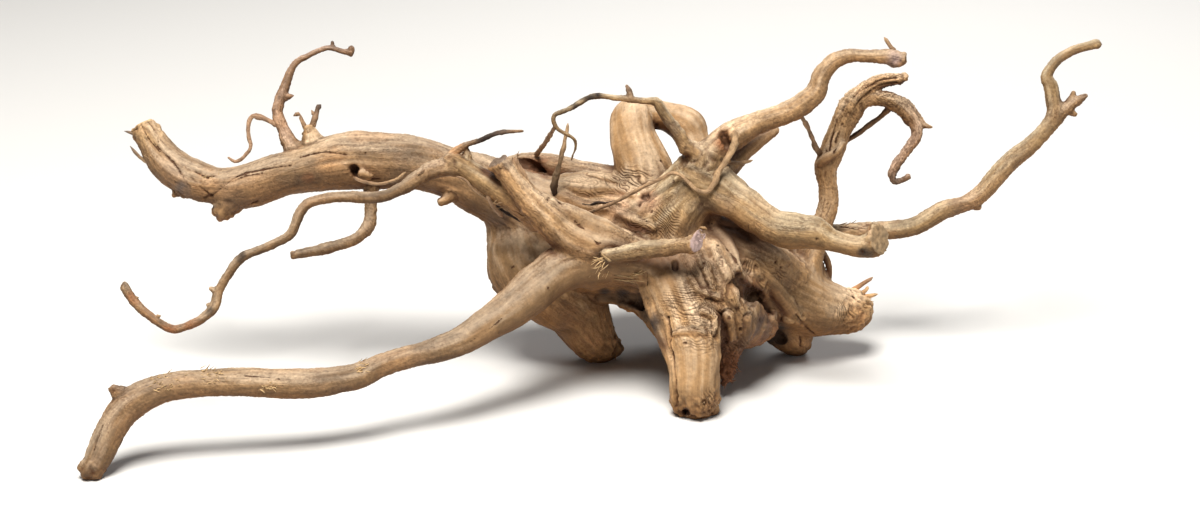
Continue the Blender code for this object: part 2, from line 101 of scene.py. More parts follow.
backRoutes = {
    "backRootA": [(40, 86, 50, 20), (32, 68, 86, 20), (26, 40, 112, 20), (32, 4, 122, 18),
        (62, -24, 126, 16), (102, -40, 132, 17)],
    "backRootB": [(-30, 78, 58, 15), (-12, 58, 92, 17), (-2, 26, 112, 18), (-10, -10, 106, 20),
        (-15, -48, 88, 21), (-6, -74, 76, 18)],
    "backRootC": [(112, 46, 76, 20), (112, 18, 116, 21), (124, -14, 130, 20), (139, -45, 142, 18)],
    "backRootD": [(-24, -34, 98, 11), (20, -31, 118, 9), (60, -40, 128, 8), (106, -54, 136, 10)],
    "backRootE": [(70, 62, 84, 15), (74, 28, 122, 13), (92, 2, 130, 12), (106, -22, 134, 12)],
    "backRootF": [(150, 10, 92, 16), (160, -18, 106, 15), (176, -48, 102, 16), (190, -74, 92, 16)],
    "backStub": [(56, 24, 106, 21), (62, 40, 130, 14), (66, 50, 146, 10)],
    "backKnot": [(4, 2, 112, 15), (-2, 6, 126, 9)],
}

limbRoutes = {
    "greatLimb": [(-40, 34, 28, 42), (-80, 52, 22, 34), (-116, 69, 14, 29), (-148, 83, 8, 26.5),
        (-178, 91.5, 2, 26.3), (-215, 94.5, -3, 28), (-250, 95.5, -7, 27.7), (-282, 91, -10, 25),
        (-315, 83, -12, 22.5), (-350, 72, -13, 21.5), (-378, 70, -13, 17.5), (-400, 74, -12, 19),
        (-418, 82, -11, 19), (-433, 94, -9, 17.8), (-443.5, 107.5, -7, 16.3),
        (-452.5, 121.5, -5, 14.5), (-456.5, 128, -4, 13)],
    "limbCone": [(-285, 104, -8, 15), (-288.5, 117, -8, 10), (-290.5, 127, -8, 5.8)],
    "underKnob": [(-369, 58, -12, 15), (-376.5, 46.5, -12, 11)],
    "barkKnob": [(-416, 70, -14, 11), (-418, 65, -15, 8)],
    "underSpur": [(-145, 66, -2, 10), (-153, 57.5, -6, 6.2), (-159, 54, -8, 4.4)],
    "rearLog": [(-100, 76, 45, 20), (-75, 87, 48, 16), (-52, 88.5, 50, 14.5),
        (-25, 82.5, 50, 14), (5, 76, 46, 15.8), (35, 61, 36, 26)],
    "arm": [(-60, 41, -52, 17), (-80, 54, -56, 14), (-100, 66, -60, 12.5), (-120, 78, -64, 11.5),
        (-137, 89, -67, 10.5), (-148, 95, -69, 9)],
    "armSpur": [(-135, 89, -67, 8), (-133, 99, -68, 5), (-133, 107, -69, 2.5)],
    "frontStub": [(45, -6, -40, 20), (15, 4, -52, 17), (-10, 10, -60, 17), (-33, 20, -65, 17),
        (-51, 36, -69, 15.5), (-68, 53, -72, 13.5), (-82, 69, -75, 11.5), (-92, 83, -77, 11),
        (-101, 93, -78, 10.5)],
    "stubStrand": [(-59, 60, -66, 5), (-40, 47, -65, 8), (-20, 36, -61, 11), (0, 26, -57, 12),
        (20, 17, -51, 12), (40, 6, -44, 13), (60, -6, -34, 16)],
    "frontLong": [(22, -6, -30, 25), (-8, -4, -42, 25), (-37, -12, -52, 24.5),
        (-62, -30, -63, 22.3), (-87, -51.5, -74, 20), (-112, -69.5, -86, 17),
        (-138, -84.5, -97, 14.5), (-164, -94, -108, 13), (-194, -102, -118, 11.5),
        (-218, -109.5, -126, 11.5), (-240, -119.5, -134, 13.2), (-260, -124, -140, 13.7),
        (-285, -127.5, -147, 15), (-310, -128, -153, 15.2), (-340, -127, -159, 14.5),
        (-368, -126.5, -164, 14), (-395, -127, -168, 14.6), (-420, -128.5, -171, 15),
        (-442, -133.5, -174, 15.5), (-462, -142.5, -177, 16.8), (-478, -156, -179, 16.5),
        (-489.5, -175, -181, 15.3), (-498.5, -195, -183, 14), (-506.5, -210, -184, 12.6),
        (-509, -213.5, -184, 11)],
    "longSpur": [(-470, -146, -180, 11), (-480, -138, -181, 8.5), (-486.5, -133, -181, 5)],
    "frontTwig": [(8, -1, -76, 8), (22, 2, -80, 9), (50, 6, -84, 9), (75, 9.5, -88, 7.5),
        (92, 12, -90, 9), (98, 14, -90, 8)],
    "twigKnob": [(94, 15, -90, 6), (100, 23, -91, 4.5), (103, 26, -91, 4)],
    "arch": [(48, 51, 16, 36), (45, 72, 20, 29.5), (41, 92, 23, 25.7), (34, 115, 27, 23.7),
        (31, 134, 33, 22), (37, 141.5, 38, 16.5), (50, 141.5, 42, 15.5), (68, 139, 52, 14.8),
        (87, 130, 58, 18.5), (94, 115, 56, 17), (103, 94, 44, 15), (106, 66, 24, 24)],
    "yTrunk": [(58, 8, -4, 42), (72, 34, -14, 38), (89, 59, -24, 31), (102, 80, -32, 23),
        (109, 96, -37, 17)],
    "yKnob": [(105, 96, -38, 14), (94, 105, -43, 9.5), (87, 108, -45, 8)],
    "upperRight": [(106, 97, -37, 14), (117, 109, -38, 14.5), (132, 120.5, -36, 14.3),
        (150, 130, -32, 12.3), (170, 137.5, -28, 11), (190, 144.5, -24, 11.3),
        (204, 152.5, -21, 11.3), (216, 163.5, -19, 10.4), (219.5, 176, -18, 9.6),
        (225.5, 186.5, -18, 9.2), (236, 196, -19, 8.2), (250, 200.5, -20, 7.3),
        (266, 200, -21, 6.8), (280, 199.5, -23, 7.4), (291, 199, -24, 8.6),
        (298.5, 197, -24, 8.3)],
    "rightArm": [(100, 74, -30, 27), (123, 61, -38, 23.5), (143, 49.7, -43, 19.7),
        (159, 38, -46, 18), (176, 28, -48, 17.2), (198, 25, -51, 17.3), (215, 24, -53, 16.2),
        (228, 18, -55, 12), (244, 12.7, -57, 10.2), (260, 9.7, -59, 10.7),
        (272, 11.5, -61, 13.3), (277.5, 16, -63, 14), (279, 21, -63, 12)],
    "rearStub": [(122, 89, -16, 16), (141, 104, -4, 11), (156, 115, 6, 8.8),
        (168, 122.7, 14, 7.3), (174, 127, 18, 6)],
    "verticalLimb": [(198, -44, 56, 27), (204, -21, 53, 19), (211, 4, 49, 13.5),
        (220, 26, 46, 10.5), (227.5, 46, 45, 10), (229, 61, 45, 9.7), (227.5, 76, 44, 9.7),
        (226, 90, 43, 11.8), (232.5, 106, 42, 12.4), (239, 124, 41, 12), (245.5, 139, 40, 12.8),
        (252.5, 151.5, 39, 11.7)],
    "upperProng": [(248, 147, 39, 11), (257, 159.5, 38, 9.5), (269, 168.7, 37, 8.3),
        (281, 175, 36, 7.5), (293, 176.5, 35, 6.8), (303, 177.7, 34, 5.6)],
    "lowerProng": [(247, 138, 40, 9), (256, 150, 39, 7.7), (269, 156.7, 38, 7.4),
        (284, 157.2, 36, 8.2), (298, 152, 34, 9.2), (307, 145.5, 32, 9), (318, 135, 31, 5.5),
        (326, 130, 30, 3), (332, 129, 30, 1.5)],
    "prongHook": [(309.5, 141, 32, 8.3), (316.5, 129, 30, 6.4), (315.5, 118, 28, 5.7),
        (308.5, 108.3, 26, 5), (301.5, 98.5, 25, 4.9), (295.5, 89.3, 24, 5.1),
        (292, 81.3, 23, 4.8), (295, 74.5, 22, 3.4), (302, 76, 21, 3.2), (308.5, 79.3, 20, 3.2)],
    "farRight": [(162, -6, 70, 26), (200, 12, 76, 14), (232, 22, 77, 9.5), (262, 25.3, 76, 8.8),
        (292, 26.5, 75, 9.1), (316, 30.5, 73, 9), (340, 44.3, 71, 9.7), (359.5, 50.7, 69, 8),
        (371.5, 55.3, 68, 8.5), (384, 65.3, 66, 9.1), (396, 79.2, 64, 9.6),
        (409.8, 94.3, 62, 9.8), (429.8, 110.3, 59, 8.6), (445.5, 126, 57, 8),
        (455, 142, 55, 8.5), (453, 158, 54, 7.8), (450.3, 171, 53, 7.2), (446.3, 179, 53, 6),
        (452, 190, 52, 5.5), (461.3, 199, 51, 5), (475.3, 206.3, 50, 4.9),
        (489.5, 210.3, 49, 4.9), (497, 212, 49, 4.6)],
    "farKnee": [(372, 55, 68, 7), (378, 50, 68, 4.5)],
    "farSpur": [(456, 141, 55, 8), (466, 147.7, 53, 7), (477, 155, 51, 5), (485, 160, 50, 3)],
    "curly": [(-140, 88, -67, 9.5), (-158, 88, -69, 9), (-174, 83, -71, 8.5),
        (-189, 73, -73, 7.5), (-204, 64.5, -75, 6.5), (-221, 59, -76, 6), (-241, 58.7, -77, 5.9),
        (-261, 59, -78, 5.5), (-279, 56.5, -79, 5.4), (-292.5, 52.5, -80, 5.6),
        (-300.5, 42.5, -81, 5.4), (-305, 30.5, -82, 5.3), (-312, 19.5, -83, 4.8),
        (-329.5, 10.5, -85, 4.6), (-345, 4.3, -86, 4.5), (-357, -0.5, -87, 4.9),
        (-366.5, -10.5, -88, 5.2), (-375, -23.5, -89, 4.7), (-382, -36.5, -90, 4.7),
        (-385.5, -50.5, -91, 5.2), (-395.5, -61, -92, 5), (-410, -69, -93, 4.3),
        (-426, -73.3, -94, 4.3), (-440, -67.5, -94, 4.3), (-453.5, -57.5, -94, 4.5),
        (-465.5, -46, -94, 4.9), (-472.5, -36, -94, 4.8), (-476, -30, -94, 4.2)],
    "hangingBranch": [(-227.5, 76, -8, 9), (-229.5, 59, -12, 6.8), (-229.5, 43, -15, 6.2),
        (-232.5, 29, -18, 7), (-242.5, 18.7, -22, 5.7), (-255, 13, -26, 5.5),
        (-270, 9, -30, 5.6), (-285, 5, -34, 5.2), (-300, 2, -37, 4.9), (-305.5, 1, -38, 4.4)],
    "curvedTwig": [(-305, 105, -10, 9.5), (-311.5, 115, -8, 7.8), (-316, 125, -6, 6.3),
        (-320.7, 135, -4, 5.7), (-322.5, 145, -2, 5.6), (-320.5, 155, 0, 5.5),
        (-316.5, 165, 2, 5.3), (-313, 175, 4, 5), (-309.5, 185, 6, 4.4), (-303.5, 194, 8, 3.8),
        (-294.5, 199, 10, 3.1), (-284.5, 204, 12, 2.9), (-275, 207.7, 14, 2.9),
        (-267, 207.7, 15, 3), (-258, 204.7, 16, 2.6), (-249, 203.7, 16, 3.4)],
    "hookTwig": [(86, 107, -45, 7.5), (81.5, 117.5, -47, 6.8), (74.5, 127.5, -49, 6),
        (67, 138, -51, 5.4), (60.5, 148.5, -53, 4.8), (56, 154.5, -54, 4.3), (43, 155, -55, 3.3),
        (28, 157, -56, 3.6), (12, 158.5, -57, 3.1), (0, 160, -58, 3), (-12, 158, -60, 3.2),
        (-23, 151.7, -62, 3.2), (-34, 145.7, -64, 3), (-43.5, 142.5, -65, 2.9),
        (-46.7, 138, -65, 2.7), (-45, 131, -64, 2.4), (-40, 125, -62, 2.3), (-32, 121, -60, 2.1),
        (-25, 115.7, -57, 2.1), (-24, 108.7, -54, 2.1), (-27, 101, -50, 1.9),
        (-28.5, 96, -47, 1.7)],
    "hookSpur": [(31, 158, -56, 3.6), (29, 165, -56, 3.1), (27, 169.5, -56, 2)],
    "twigStub": [(-316, 158, 1, 4), (-311, 159.5, 0, 3.4), (-307, 160.5, -1, 2.2)],
    "darkTwig": [(-155, 93, -69, 6.5), (-146, 103, -70, 4.6), (-134, 111, -72, 3.4),
        (-120, 115.5, -74, 2.6), (-108, 121, -76, 3), (-95, 124.3, -77, 2.5),
        (-85, 124.5, -78, 2), (-77, 125, -78, 1.4)],
    "curvedBud": [(-267, 208, 15, 2.6), (-267.7, 214, 15, 1.9)],
    "curvedTip": [(-248.5, 207.2, 16, 3.1), (-248.5, 201, 16, 2.7)],
    "barkBud": [(-422, 66, -14, 5), (-426.5, 60.5, -14, 2.6)],
    "farBudA": [(467, 146, 53, 5), (474, 142, 53, 2.6)],
    "farBudB": [(469, 153, 52, 4.6), (473.5, 162.5, 52, 2.4)],
    "curlyBudA": [(-383, -35, -90, 4), (-389, -32.5, -90, 2.6)],
    "curlyBudB": [(-386, -50, -91, 4), (-392, -49, -91, 2.2)],
    "prongTwig": [(243, 113, 50, 3.2), (258, 122.5, 54, 2.9), (270, 131.7, 54, 3),
        (280, 138.7, 51, 3), (289, 147.5, 44, 3.2)],
    "lobeStrip": [(219, 8, 58, 3), (227, -4, 62, 3.2), (229.5, -16, 66, 3), (228, -28, 70, 2.8)],
}

threadRoutes = {
    "loopRoot": [(134, 125, -50, 4.5), (135, 116, -54, 4), (131, 104, -58, 3.6),
        (124, 93, -61, 3.2), (118, 83, -62, 3), (113, 71, -62, 2.8), (106, 64, -61, 2),
        (95, 67, -60, 1.8), (88, 74, -58, 1.8), (80, 81, -55, 2), (72, 83, -53, 2),
        (60, 77, -50, 1.8), (45, 70, -46, 1.8), (30, 62, -42, 1.8), (15, 54, -38, 1.8),
        (0, 48, -33, 1.8), (-14, 42, -26, 1.8)],
    "hangTwig": [(-32, 133, -22, 1.8), (-34, 121, -22, 2.2), (-37, 106, -21, 2.5),
        (-41, 91, -19, 2.4), (-44, 81, -16, 3), (-46, 70, -12, 3.8), (-46, 60, -6, 3)],
    "pinkTwig": [(-44.5, 131, -62, 2), (-51, 119, -30, 2.3), (-58, 109, 5, 2.4),
        (-64, 101, 40, 2.4)],
    "bridgeTwig": [(201, 140, -18, 2), (207.3, 129.5, -2, 2.2), (212, 118.5, 14, 2.3),
        (216, 108, 28, 2.7), (220.5, 101, 38, 3)],
    "darkThread": [(-23, 47, -6, 0.9), (-19, 52, -10, 1.0), (-10, 51, -12, 1.1),
        (-2, 54, -15, 1.1), (6, 53, -18, 1.1), (14, 55, -21, 1.0), (22, 55, -26, 0.9)],
    "sideRootlet": [(-247, 79, -34, 1.6), (-238, 75, -38, 1.7), (-222, 72, -40, 1.6),
        (-205, 76, -42, 1.4), (-194, 84, -44, 1.2)],
    "armThread": [(-144, 80, -74, 1.3), (-134, 76, -72, 1.4), (-126, 66, -68, 1.4),
        (-112, 57, -60, 1.5), (-100, 53, -52, 1.5)],
    "armDrop": [(-113, 62, -66, 2.5), (-108, 52, -60, 2.4), (-102, 44, -52, 2.2),
        (-97, 39, -46, 1.8)],
    "darkDrop": [(-106, 51, -50, 1.5), (-90, 41, -38, 1.5), (-74, 33, -26, 1.3),
        (-60, 35, -16, 1.3)],
    "curlTwig": [(-321, 130, -5, 3.8), (-330.5, 135.2, -7, 2.9), (-340, 138.5, -9, 2.8),
        (-347.5, 140, -10, 2.5), (-350.7, 135.5, -11, 2.3), (-352, 126, -12, 2.1),
        (-350.7, 116, -13, 2.1), (-349.7, 108, -14, 2.1), (-353.5, 102, -15, 1.9),
        (-359, 96.5, -16, 1.9), (-365, 94.3, -17, 1.8), (-370, 97, -18, 1.6),
        (-372.5, 99, -18, 1.4)],
    "coneTwigA": [(-293.5, 126, -8, 2.7), (-297.5, 134.5, -8, 2.3), (-300.7, 142, -8, 2.2),
        (-306.7, 140, -9, 1.9)],
    "coneTwigB": [(-289, 127, -8, 3.2), (-285, 138.5, -8, 2.9), (-282, 147, -7, 2.9),
        (-279, 151.5, -7, 2.8)],
    "coneTwigC": [(-285, 139, -8, 2.4), (-288.5, 146, -8, 1.5)],
    "curlyBudC": [(-445, -62, -94, 3.4), (-439, -59.5, -94, 1.8)],
    "curlyBudD": [(-466, -43, -94, 3.6), (-461, -41.5, -94, 1.6)],
    "stubFlake": [(-86, 98, -76, 3.8), (-81, 86, -74, 4), (-71, 71, -72, 4), (-60, 59, -70, 4)],
    "barkFlake": [(122, 93, -30, 3), (135, 93, -30, 2.5), (147, 94, -28, 2), (153, 96, -27, 1.2)],
    "tipThread": [(296, 203, -24, 3), (289.5, 211, -24, 2), (284, 219, -24, 1.2)],
    "splinterA": [(-448, 113, -8, 3), (-462, 121, -8, 2), (-476, 125, -8, 1.2)],
    "splinterB": [(-448, 93, -8, 4), (-460, 99, -9, 2.2), (-470, 110, -9, 1.2)],
    "spikeA": [(246, -37, 74, 4), (260, -30, 72, 2.4), (273, -21, 70, 1.4)],
    "spikeB": [(254, -44, 77, 6), (266, -41, 76, 3), (278, -38, 75, 1.5)],
    "spikeC": [(258, -40, 76, 4), (266, -34, 74, 2.2), (268, -30, 73, 1.2)],
}

# Marks on the wood, each at (across, up) as the viewer sees it; sizes are in steps
hollows = [  # from, to, radius, how far it is sunk along the line of sight
    ((141, -28), (146, -42), 12, 12), ((148, -34), (157, -44), 10, 30),
    ((160, -49), (170, -56), 3.5, 3), ((119, -58), (120, -80), 3.4, 8),
    ((75, -6), (75, -13), 2.6, 3), ((176, -80), (181, -85), 5, 5), ((2, -43), (40, -45), 9, 5),
    ((86, -156), (88, -163), 3, 2), ((45, 59), (49, 56), 4.5, 4), ((-247, 87), (-243, 84), 4, 5),
    ((123, 121), (127, 111), 6, 5), ((-80, 95), (-48, 83), 5, 8),
]

wrinkles = [  # centre, half-size across and up, the way across the folds, spacing, depth in mm
    ((30, 76), 24, 13, (0.45, 0.89), 3.6, 1.2), ((67, 34), 13, 20, (0.72, 0.69), 2.8, 0.8),
    ((93, -48), 28, 20, (0.30, 0.95), 2.7, 0.8), ((102, -84), 18, 14, (0.15, 0.99), 3.4, 0.45),
    ((109, -146), 7, 14, (0.97, 0.25), 3.0, 0.8), ((-78, 43), 11, 9, (0.35, 0.94), 3.6, 0.9),
    ((180, -18), 9, 6, (0.35, 0.94), 2.8, 0.9), ((146, -12), 13, 10, (0.93, -0.36), 3.2, 0.9),
    ((40, 28), 26, 12, (0.50, 0.87), 3.4, 0.55), ((-10, 70), 26, 14, (0.30, 0.95), 4.2, 0.5),
    ((160, -34), 14, 12, (0.70, 0.71), 3.2, 0.7), ((245, -56), 16, 12, (0.90, 0.44), 3.4, 0.8),
    ((136, -89), 14, 16, (0.86, 0.5), 3.4, 0.8),
]

knots = [  # centre, radius, height in mm
    ((104, -12), 6, 2.2), ((118, 10), 5, 1.8), ((110, -57), 5.5, 1.8), ((129, -62), 8, 3.0),
    ((84, -87), 4.5, 1.2), ((186, -63), 4.5, 1.8), ((192, -41), 4, 1.4), ((172, 6), 3.2, 0.8),
    ((178, 0), 3.0, 0.8), ((183, -7), 3.0, 0.8), ((176, -11), 2.6, 0.7), ((212, -44), 2.2, 0.7),
    ((218, -50), 2.2, 0.7), ((40, 21), 4.5, 1.8), ((72, 75), 3.4, 0.5), ((93, 6), 5, 1.6),
    ((111, -22), 4.5, 1.5), ((94, -30), 5, 1.5), ((100, -44), 4, 1.4), ((133, -44), 4.5, 1.6),
    ((142, -66), 5, 1.6), ((152, -74), 5, 1.4), ((76, -53), 4, 1.0), ((-235, 104), 3, 0.6),
    ((-247, 122), 2.6, 0.6), ((-164, -104), 4, 1.0), ((-274, -136), 4, 0.8), ((-52, -32), 6, 1.2),
    ((215, 13), 3, 0.7), ((165, 24), 4, 0.8), ((125, 76), 5, 1.0), ((375, 54), 4, 0.8),
    ((412, 104), 4, 0.8), ((226, 41), 4, 0.8),
]

pits = [  # centre, radius, depth in mm
    ((137, -52), 2.2, 3.0), ((140, -72), 2.4, 3.0), ((253, -42), 2.2, 2.4), ((72, 75), 1.8, 1.6),
    ((86, -87), 1.6, 2.0), ((42, 20), 2.0, 2.2), ((262, 4), 2.4, 1.6), ((284, 7), 2.2, 1.6),
    ((217, 17), 1.4, 1.2), ((161, -64), 2.4, 2.4), ((104, -8), 1.8, 1.8), ((41, 49), 2.4, 2.4),
    ((52, 44), 1.8, 1.6), ((60, 94), 2.0, 1.0), ((115, -154), 2.0, 1.4), ((-52, 56), 1.6, 1.0),
    ((-235, 104), 1.2, 1.0), ((176, -6), 1.6, 1.4), ((181, -11), 1.6, 1.4),
]

raised = {  # low ridges and knobs: places with their half-width, and how far they are sunk
    "ridgeCrest": ([((112, 33), 5), ((122, 20), 7), ((132, 4), 7), ((136, -12), 6), ((133, -28),
        5)], 3),
    "slopeCrest": ([((114, 35), 5), ((135, 30), 6), ((158, 16), 6), ((186, -6), 5)], 3),
    "hollowRim": ([((157, -6), 6), ((170, -24), 8), ((184, -44), 9), ((197, -62), 8)], 4),
    "fingerKnob": ([((128, -60), 7.5), ((131, -82), 6.5)], 1),
    "fingerKnobB": ([((146, -62), 6), ((143, -86), 6)], 2),
    "burlFoldA": ([((100, -2), 4), ((109, -16), 5), ((112, -32), 4)], 1),
    "burlFoldB": ([((90, -22), 4), ((100, -36), 5), ((116, -42), 4)], 1),
    "burlFoldC": ([((102, -56), 4.5), ((112, -62), 5), ((114, -78), 4.5)], 1),
    "burlFoldD": ([((122, -6), 4), ((126, -24), 4.5), ((122, -42), 4)], 1),
    "crownFoldA": ([((-35, 70), 5), ((-15, 64), 6.5), ((12, 66), 5), ((34, 60), 4)], 2),
    "crownFoldB": ([((-40, 60), 5), ((-18, 50), 6), ((6, 46), 5)], 2),
    "crownFoldC": ([((20, 42), 5), ((37, 34), 6), ((55, 28), 5)], 2),
    "crownFoldD": ([((-10, 80), 4), ((8, 76), 5), ((22, 70), 4)], 2),
    "forkRag": ([((219, 93), 4), ((226, 98), 5), ((236, 104), 4), ((243, 113), 3)], -1.5),
    "stubKnob": ([((-238, 82), 5), ((-230, 79), 3)], -1),
    "lobeKnob": ([((185, -62), 4.5), ((192, -65), 3)], 0),
    "legBand": ([((74, -78), 3), ((88, -75), 4), ((104, -78), 3.5)], 1),
}

smoothPlaces = [  # where the wood is worn smooth: centre, half-size across and up
    ((92, -116), 20, 34), ((-40, -34), 50, 24), ((222, -22), 26, 22), ((12, -12), 30, 14),
    ((-100, -74), 40, 30), ((-60, 66), 22, 22), ((-8, 28), 26, 20), ((-85, 1), 40, 22),
    ((60, -19), 26, 22), ((128, 18), 16, 20), ((38, 131), 34, 50), ((94, 141), 30, 40),
    ((10, 116), 14, 30),
]

crumblyPlaces = [  # centre, half-size across, up and away, strength
    ((131, -117), (17, 18, 40), 1.0), ((258, -55), (22, 26, 40), 0.7),
    ((106, -145), (15, 9, 30), 0.7), ((-398, 75), (14, 10, 20), 0.5),
    ((172, -80), (22, 20, 40), 0.4), ((-5, -95), (22, 12, 40), 0.4),
]

roughPlaces = {  # centre, half-size across, up and away
    "crown": ((60, 20), (170, 120, 190)),
    "burl": ((112, -40), (40, 48, 70)),
}

cracks = [  # the line, half-width, depth in mm
    ([(-395, 59), (-386, 62), (-374, 71), (-364, 79), (-352, 84), (-330, 88),
        (-309, 91)], 1.0, 1.4),
    ([(-381, 69), (-368, 74), (-354, 80), (-338, 83)], 0.8, 1.0),
    ([(-300, 100), (-286, 103), (-275, 104), (-254, 102)], 0.9, 1.1),
    ([(-360, 50), (-350, 53), (-342, 56)], 1.2, 1.0),
    ([(-408, 78), (-397, 67), (-387, 60)], 1.2, 1.4),
    ([(-404, 84), (-393, 78), (-384, 80)], 1.2, 1.2),
    ([(67, -62), (71, -76), (72, -89), (74, -106), (75, -124), (75, -140), (75, -151)], 1.7, 3.2),
    ([(197, -59), (203, -66), (206, -72), (214, -78), (226, -79)], 1.4, 2.0),
    ([(199, -79), (201, -85), (200, -90), (206, -92)], 1.2, 1.6),
    ([(-460, 134), (-452, 118), (-440, 104)], 0.8, 1.0),
    ([(-452, 136), (-442, 120), (-429, 106)], 0.8, 1.0),
    ([(-448, 138), (-434, 116), (-420, 104)], 0.8, 1.0),
    ([(-443, 110), (-429, 96), (-422, 88), (-410, 70)], 1.1, 1.2),
    ([(-40, 54), (-25, 34), (-2, 12)], 1.8, 1.8), ([(-76, 91), (-65, 73), (-52, 58)], 1.4, 1.4),
    ([(112, 34), (122, 16), (135, -2), (141, -14)], 1.6, 1.0),
    ([(236, 136), (231, 118), (229, 106), (225, 80)], 1.3, 1.6),
    ([(242, 132), (236, 116), (234, 104)], 1.1, 1.4),
    ([(296, 179), (280, 176), (258, 164), (242, 146)], 1.3, 1.6),
    ([(297, 173), (284, 172), (266, 162), (250, 144)], 1.2, 1.5),
    ([(220, 0), (215, -19), (206, -34)], 0.9, 0.6),
    ([(-360, -120), (-338, -121), (-320, -123)], 0.8, 0.5),
    ([(-130, -86), (-110, -73), (-97, -62)], 0.8, 0.5), ([(-498, -169), (-506, -194)], 0.9, 0.7),
    ([(-22, 6), (0, 13), (20, 9), (42, 6)], 1.4, 1.4),
    ([(-88, -12), (-70, -2), (-48, 6)], 0.9, 0.6),
    ([(4, 0), (2, -7), (6, -15), (16, -20)], 1.2, 1.6),
    ([(-106, 96), (-101, 88), (-91, 86), (-83, 93)], 1.0, 1.2),
    ([(-245, 80), (-238, 76), (-220, 75)], 1.0, 1.4), ([(226, 106), (228, 91)], 1.0, 1.4),
    ([(240, 30), (258, 27), (280, 26)], 0.9, 1.0), ([(262, 32), (284, 31)], 0.8, 0.8),
]

stains = [  # centre, half-size, colour, strength; a few, noted below, are painted shade
    # the first two patches here are painted shade on the front leg's left side
    ((52, -62), 8, "dark", 0.6), ((60, -78), 8, "dark", 0.6), ((6, -6), 6, "dark", 0.6),
    ((272, 28), 14, "russet", 0.45), ((290, 32), 12, "russet", 0.35),
    ((360, 56), 16, "russet", 0.2), ((-465, -41), 8, "russet", 0.6),
    ((-448, -58), 10, "russet", 0.7), ((-430, -71), 9, "russet", 0.8),
    ((-408, -70), 10, "russet", 0.6), ((-389, -56), 5, "charAndShade", 0.6), ((-387, -38), 4, "charAndShade", 0.6),
    ((-360, 0), 6, "charAndShade", 0.6), ((-234, 30), 6, "bark", 0.5), ((-295, 6), 6, "bark", 0.6),
    ((-228, 56), 6, "bark", 0.35), ((-300, 81), 22, "bark", 0.22), ((-370, 61), 18, "bark", 0.22),
    ((-430, 86), 14, "bark", 0.25), ((-200, 91), 22, "bark", 0.15),
    ((-450, -129), 16, "bark", 0.2), ((-270, -129), 22, "bark", 0.18),
    # the patch at (148, -86) is painted shade in the dark corner right of the burl's fingers
    ((-170, -104), 20, "bark", 0.15), ((148, -86), 12, "dark", 0.5),
    ((-313, 161), 10, "bark", 0.35), ((-317, 136), 8, "rust", 0.3), ((410, 106), 20, "bark", 0.2),
    ((455, 196), 12, "bark", 0.25), ((360, 51), 14, "bark", 0.2), ((295, 76), 8, "bark", 0.5),
    ((-25, 152), 13, "charAndShade", 1.0), ((-38, 145), 8, "charAndShade", 0.8), ((-8, 160), 10, "charAndShade", 1.0),
    ((28, 164), 8, "bark", 0.5), ((72, 128), 12, "bark", 0.4), ((-112, 122), 15, "charAndShade", 0.85),
    ((-102, 124), 10, "charAndShade", 0.8), ((-95, 124), 10, "dark", 0.6), ((-145, 109), 8, "rust", 0.6),
    ((293, 198), 9, "pinkCut", 0.55), ((268, 4), 7, "charAndShade", 0.6), ((286, 10), 5, "charAndShade", 0.6),
    ((-95, 16), 26, "bark", 0.28), ((-103, 41), 12, "bark", 0.45), ((-25, -56), 18, "rot", 0.25),
    ((-40, -74), 14, "bark", 0.25), ((258, 29), 16, "flesh", 0.4),
    ((-450, 126), 16, "freshCut", 0.4), ((-93, 96), 9, "bark", 0.45), ((-64, 88), 15, "rot", 0.55),
    # the char patches from (7, -36) to (62, -85) are painted shade down the inner wall under the
    # crown
    ((100, 51), 10, "bark", 0.25), ((-300, 111), 20, "freshCut", 0.2), ((7, -36), 9, "charAndShade", 0.75),
    ((22, -39), 10, "charAndShade", 0.8), ((36, -46), 10, "charAndShade", 0.8), ((46, -58), 10, "charAndShade", 0.8),
    ((54, -70), 9, "charAndShade", 0.8), ((62, -85), 8, "charAndShade", 0.8), ((176, -76), 13, "charAndShade", 0.75),
    ((157, -82), 12, "rot", 0.6), ((0, -74), 26, "rust", 0.3), ((-417, 68), 8, "bark", 0.85),
    ((-395, 75), 12, "rust", 0.5), ((131, -117), 15, "rot", 0.9), ((124, 115), 11, "russet", 0.8),
    ((-292, 78), 6, "rot", 0.7), ((0, -10), 9, "dark", 0.5), ((256, -61), 10, "rust", 0.6),
    ((47, 53), 13, "flesh", 0.7), ((170, -76), 15, "rot", 0.6), ((162, -62), 10, "rot", 0.3),
    ((-4, -94), 24, "rust", 0.35), ((41, 138), 12, "bark", 0.2), ((52, 130), 6, "bark", 0.45),
    ((100, 136), 9, "bark", 0.2), ((164, -64), 14, "rot", 0.45), ((150, -32), 13, "rot", 0.6),
    ((112, -145), 9, "rust", 0.3), ((205, -89), 14, "rust", 0.35), ((-358, 2), 4, "charAndShade", 0.8),
    ((-300, 6), 4, "charAndShade", 0.7), ((262, 4), 5, "charAndShade", 0.6), ((284, 6), 5, "charAndShade", 0.6),
    ((120, 51), 14, "bark", 0.3), ((145, 66), 10, "bark", 0.25), ((135, 106), 6, "charAndShade", 0.45),
    ((-270, 96), 16, "rust", 0.25), ((20, 51), 16, "flesh", 0.35), ((-245, 84), 7, "rot", 0.5),
    ((60, -89), 10, "rot", 0.5), ((90, 24), 8, "bark", 0.3), ((232, -36), 12, "bark", 0.2),
    ((-52, 88), 14, "rot", 0.35), ((183, -84), 9, "charAndShade", 0.5), ((-14, 16), 12, "rust", 0.2),
    # the last four patches, from (157, -56) on, are painted shade in the dark corner right of the
    # burl's fingers
    ((-85, 41), 13, "rust", 0.3), ((157, -56), 14, "dark", 0.5), ((164, -70), 14, "dark", 0.75),
    ((174, -82), 14, "charAndShade", 0.9), ((152, -78), 10, "dark", 0.6),
]

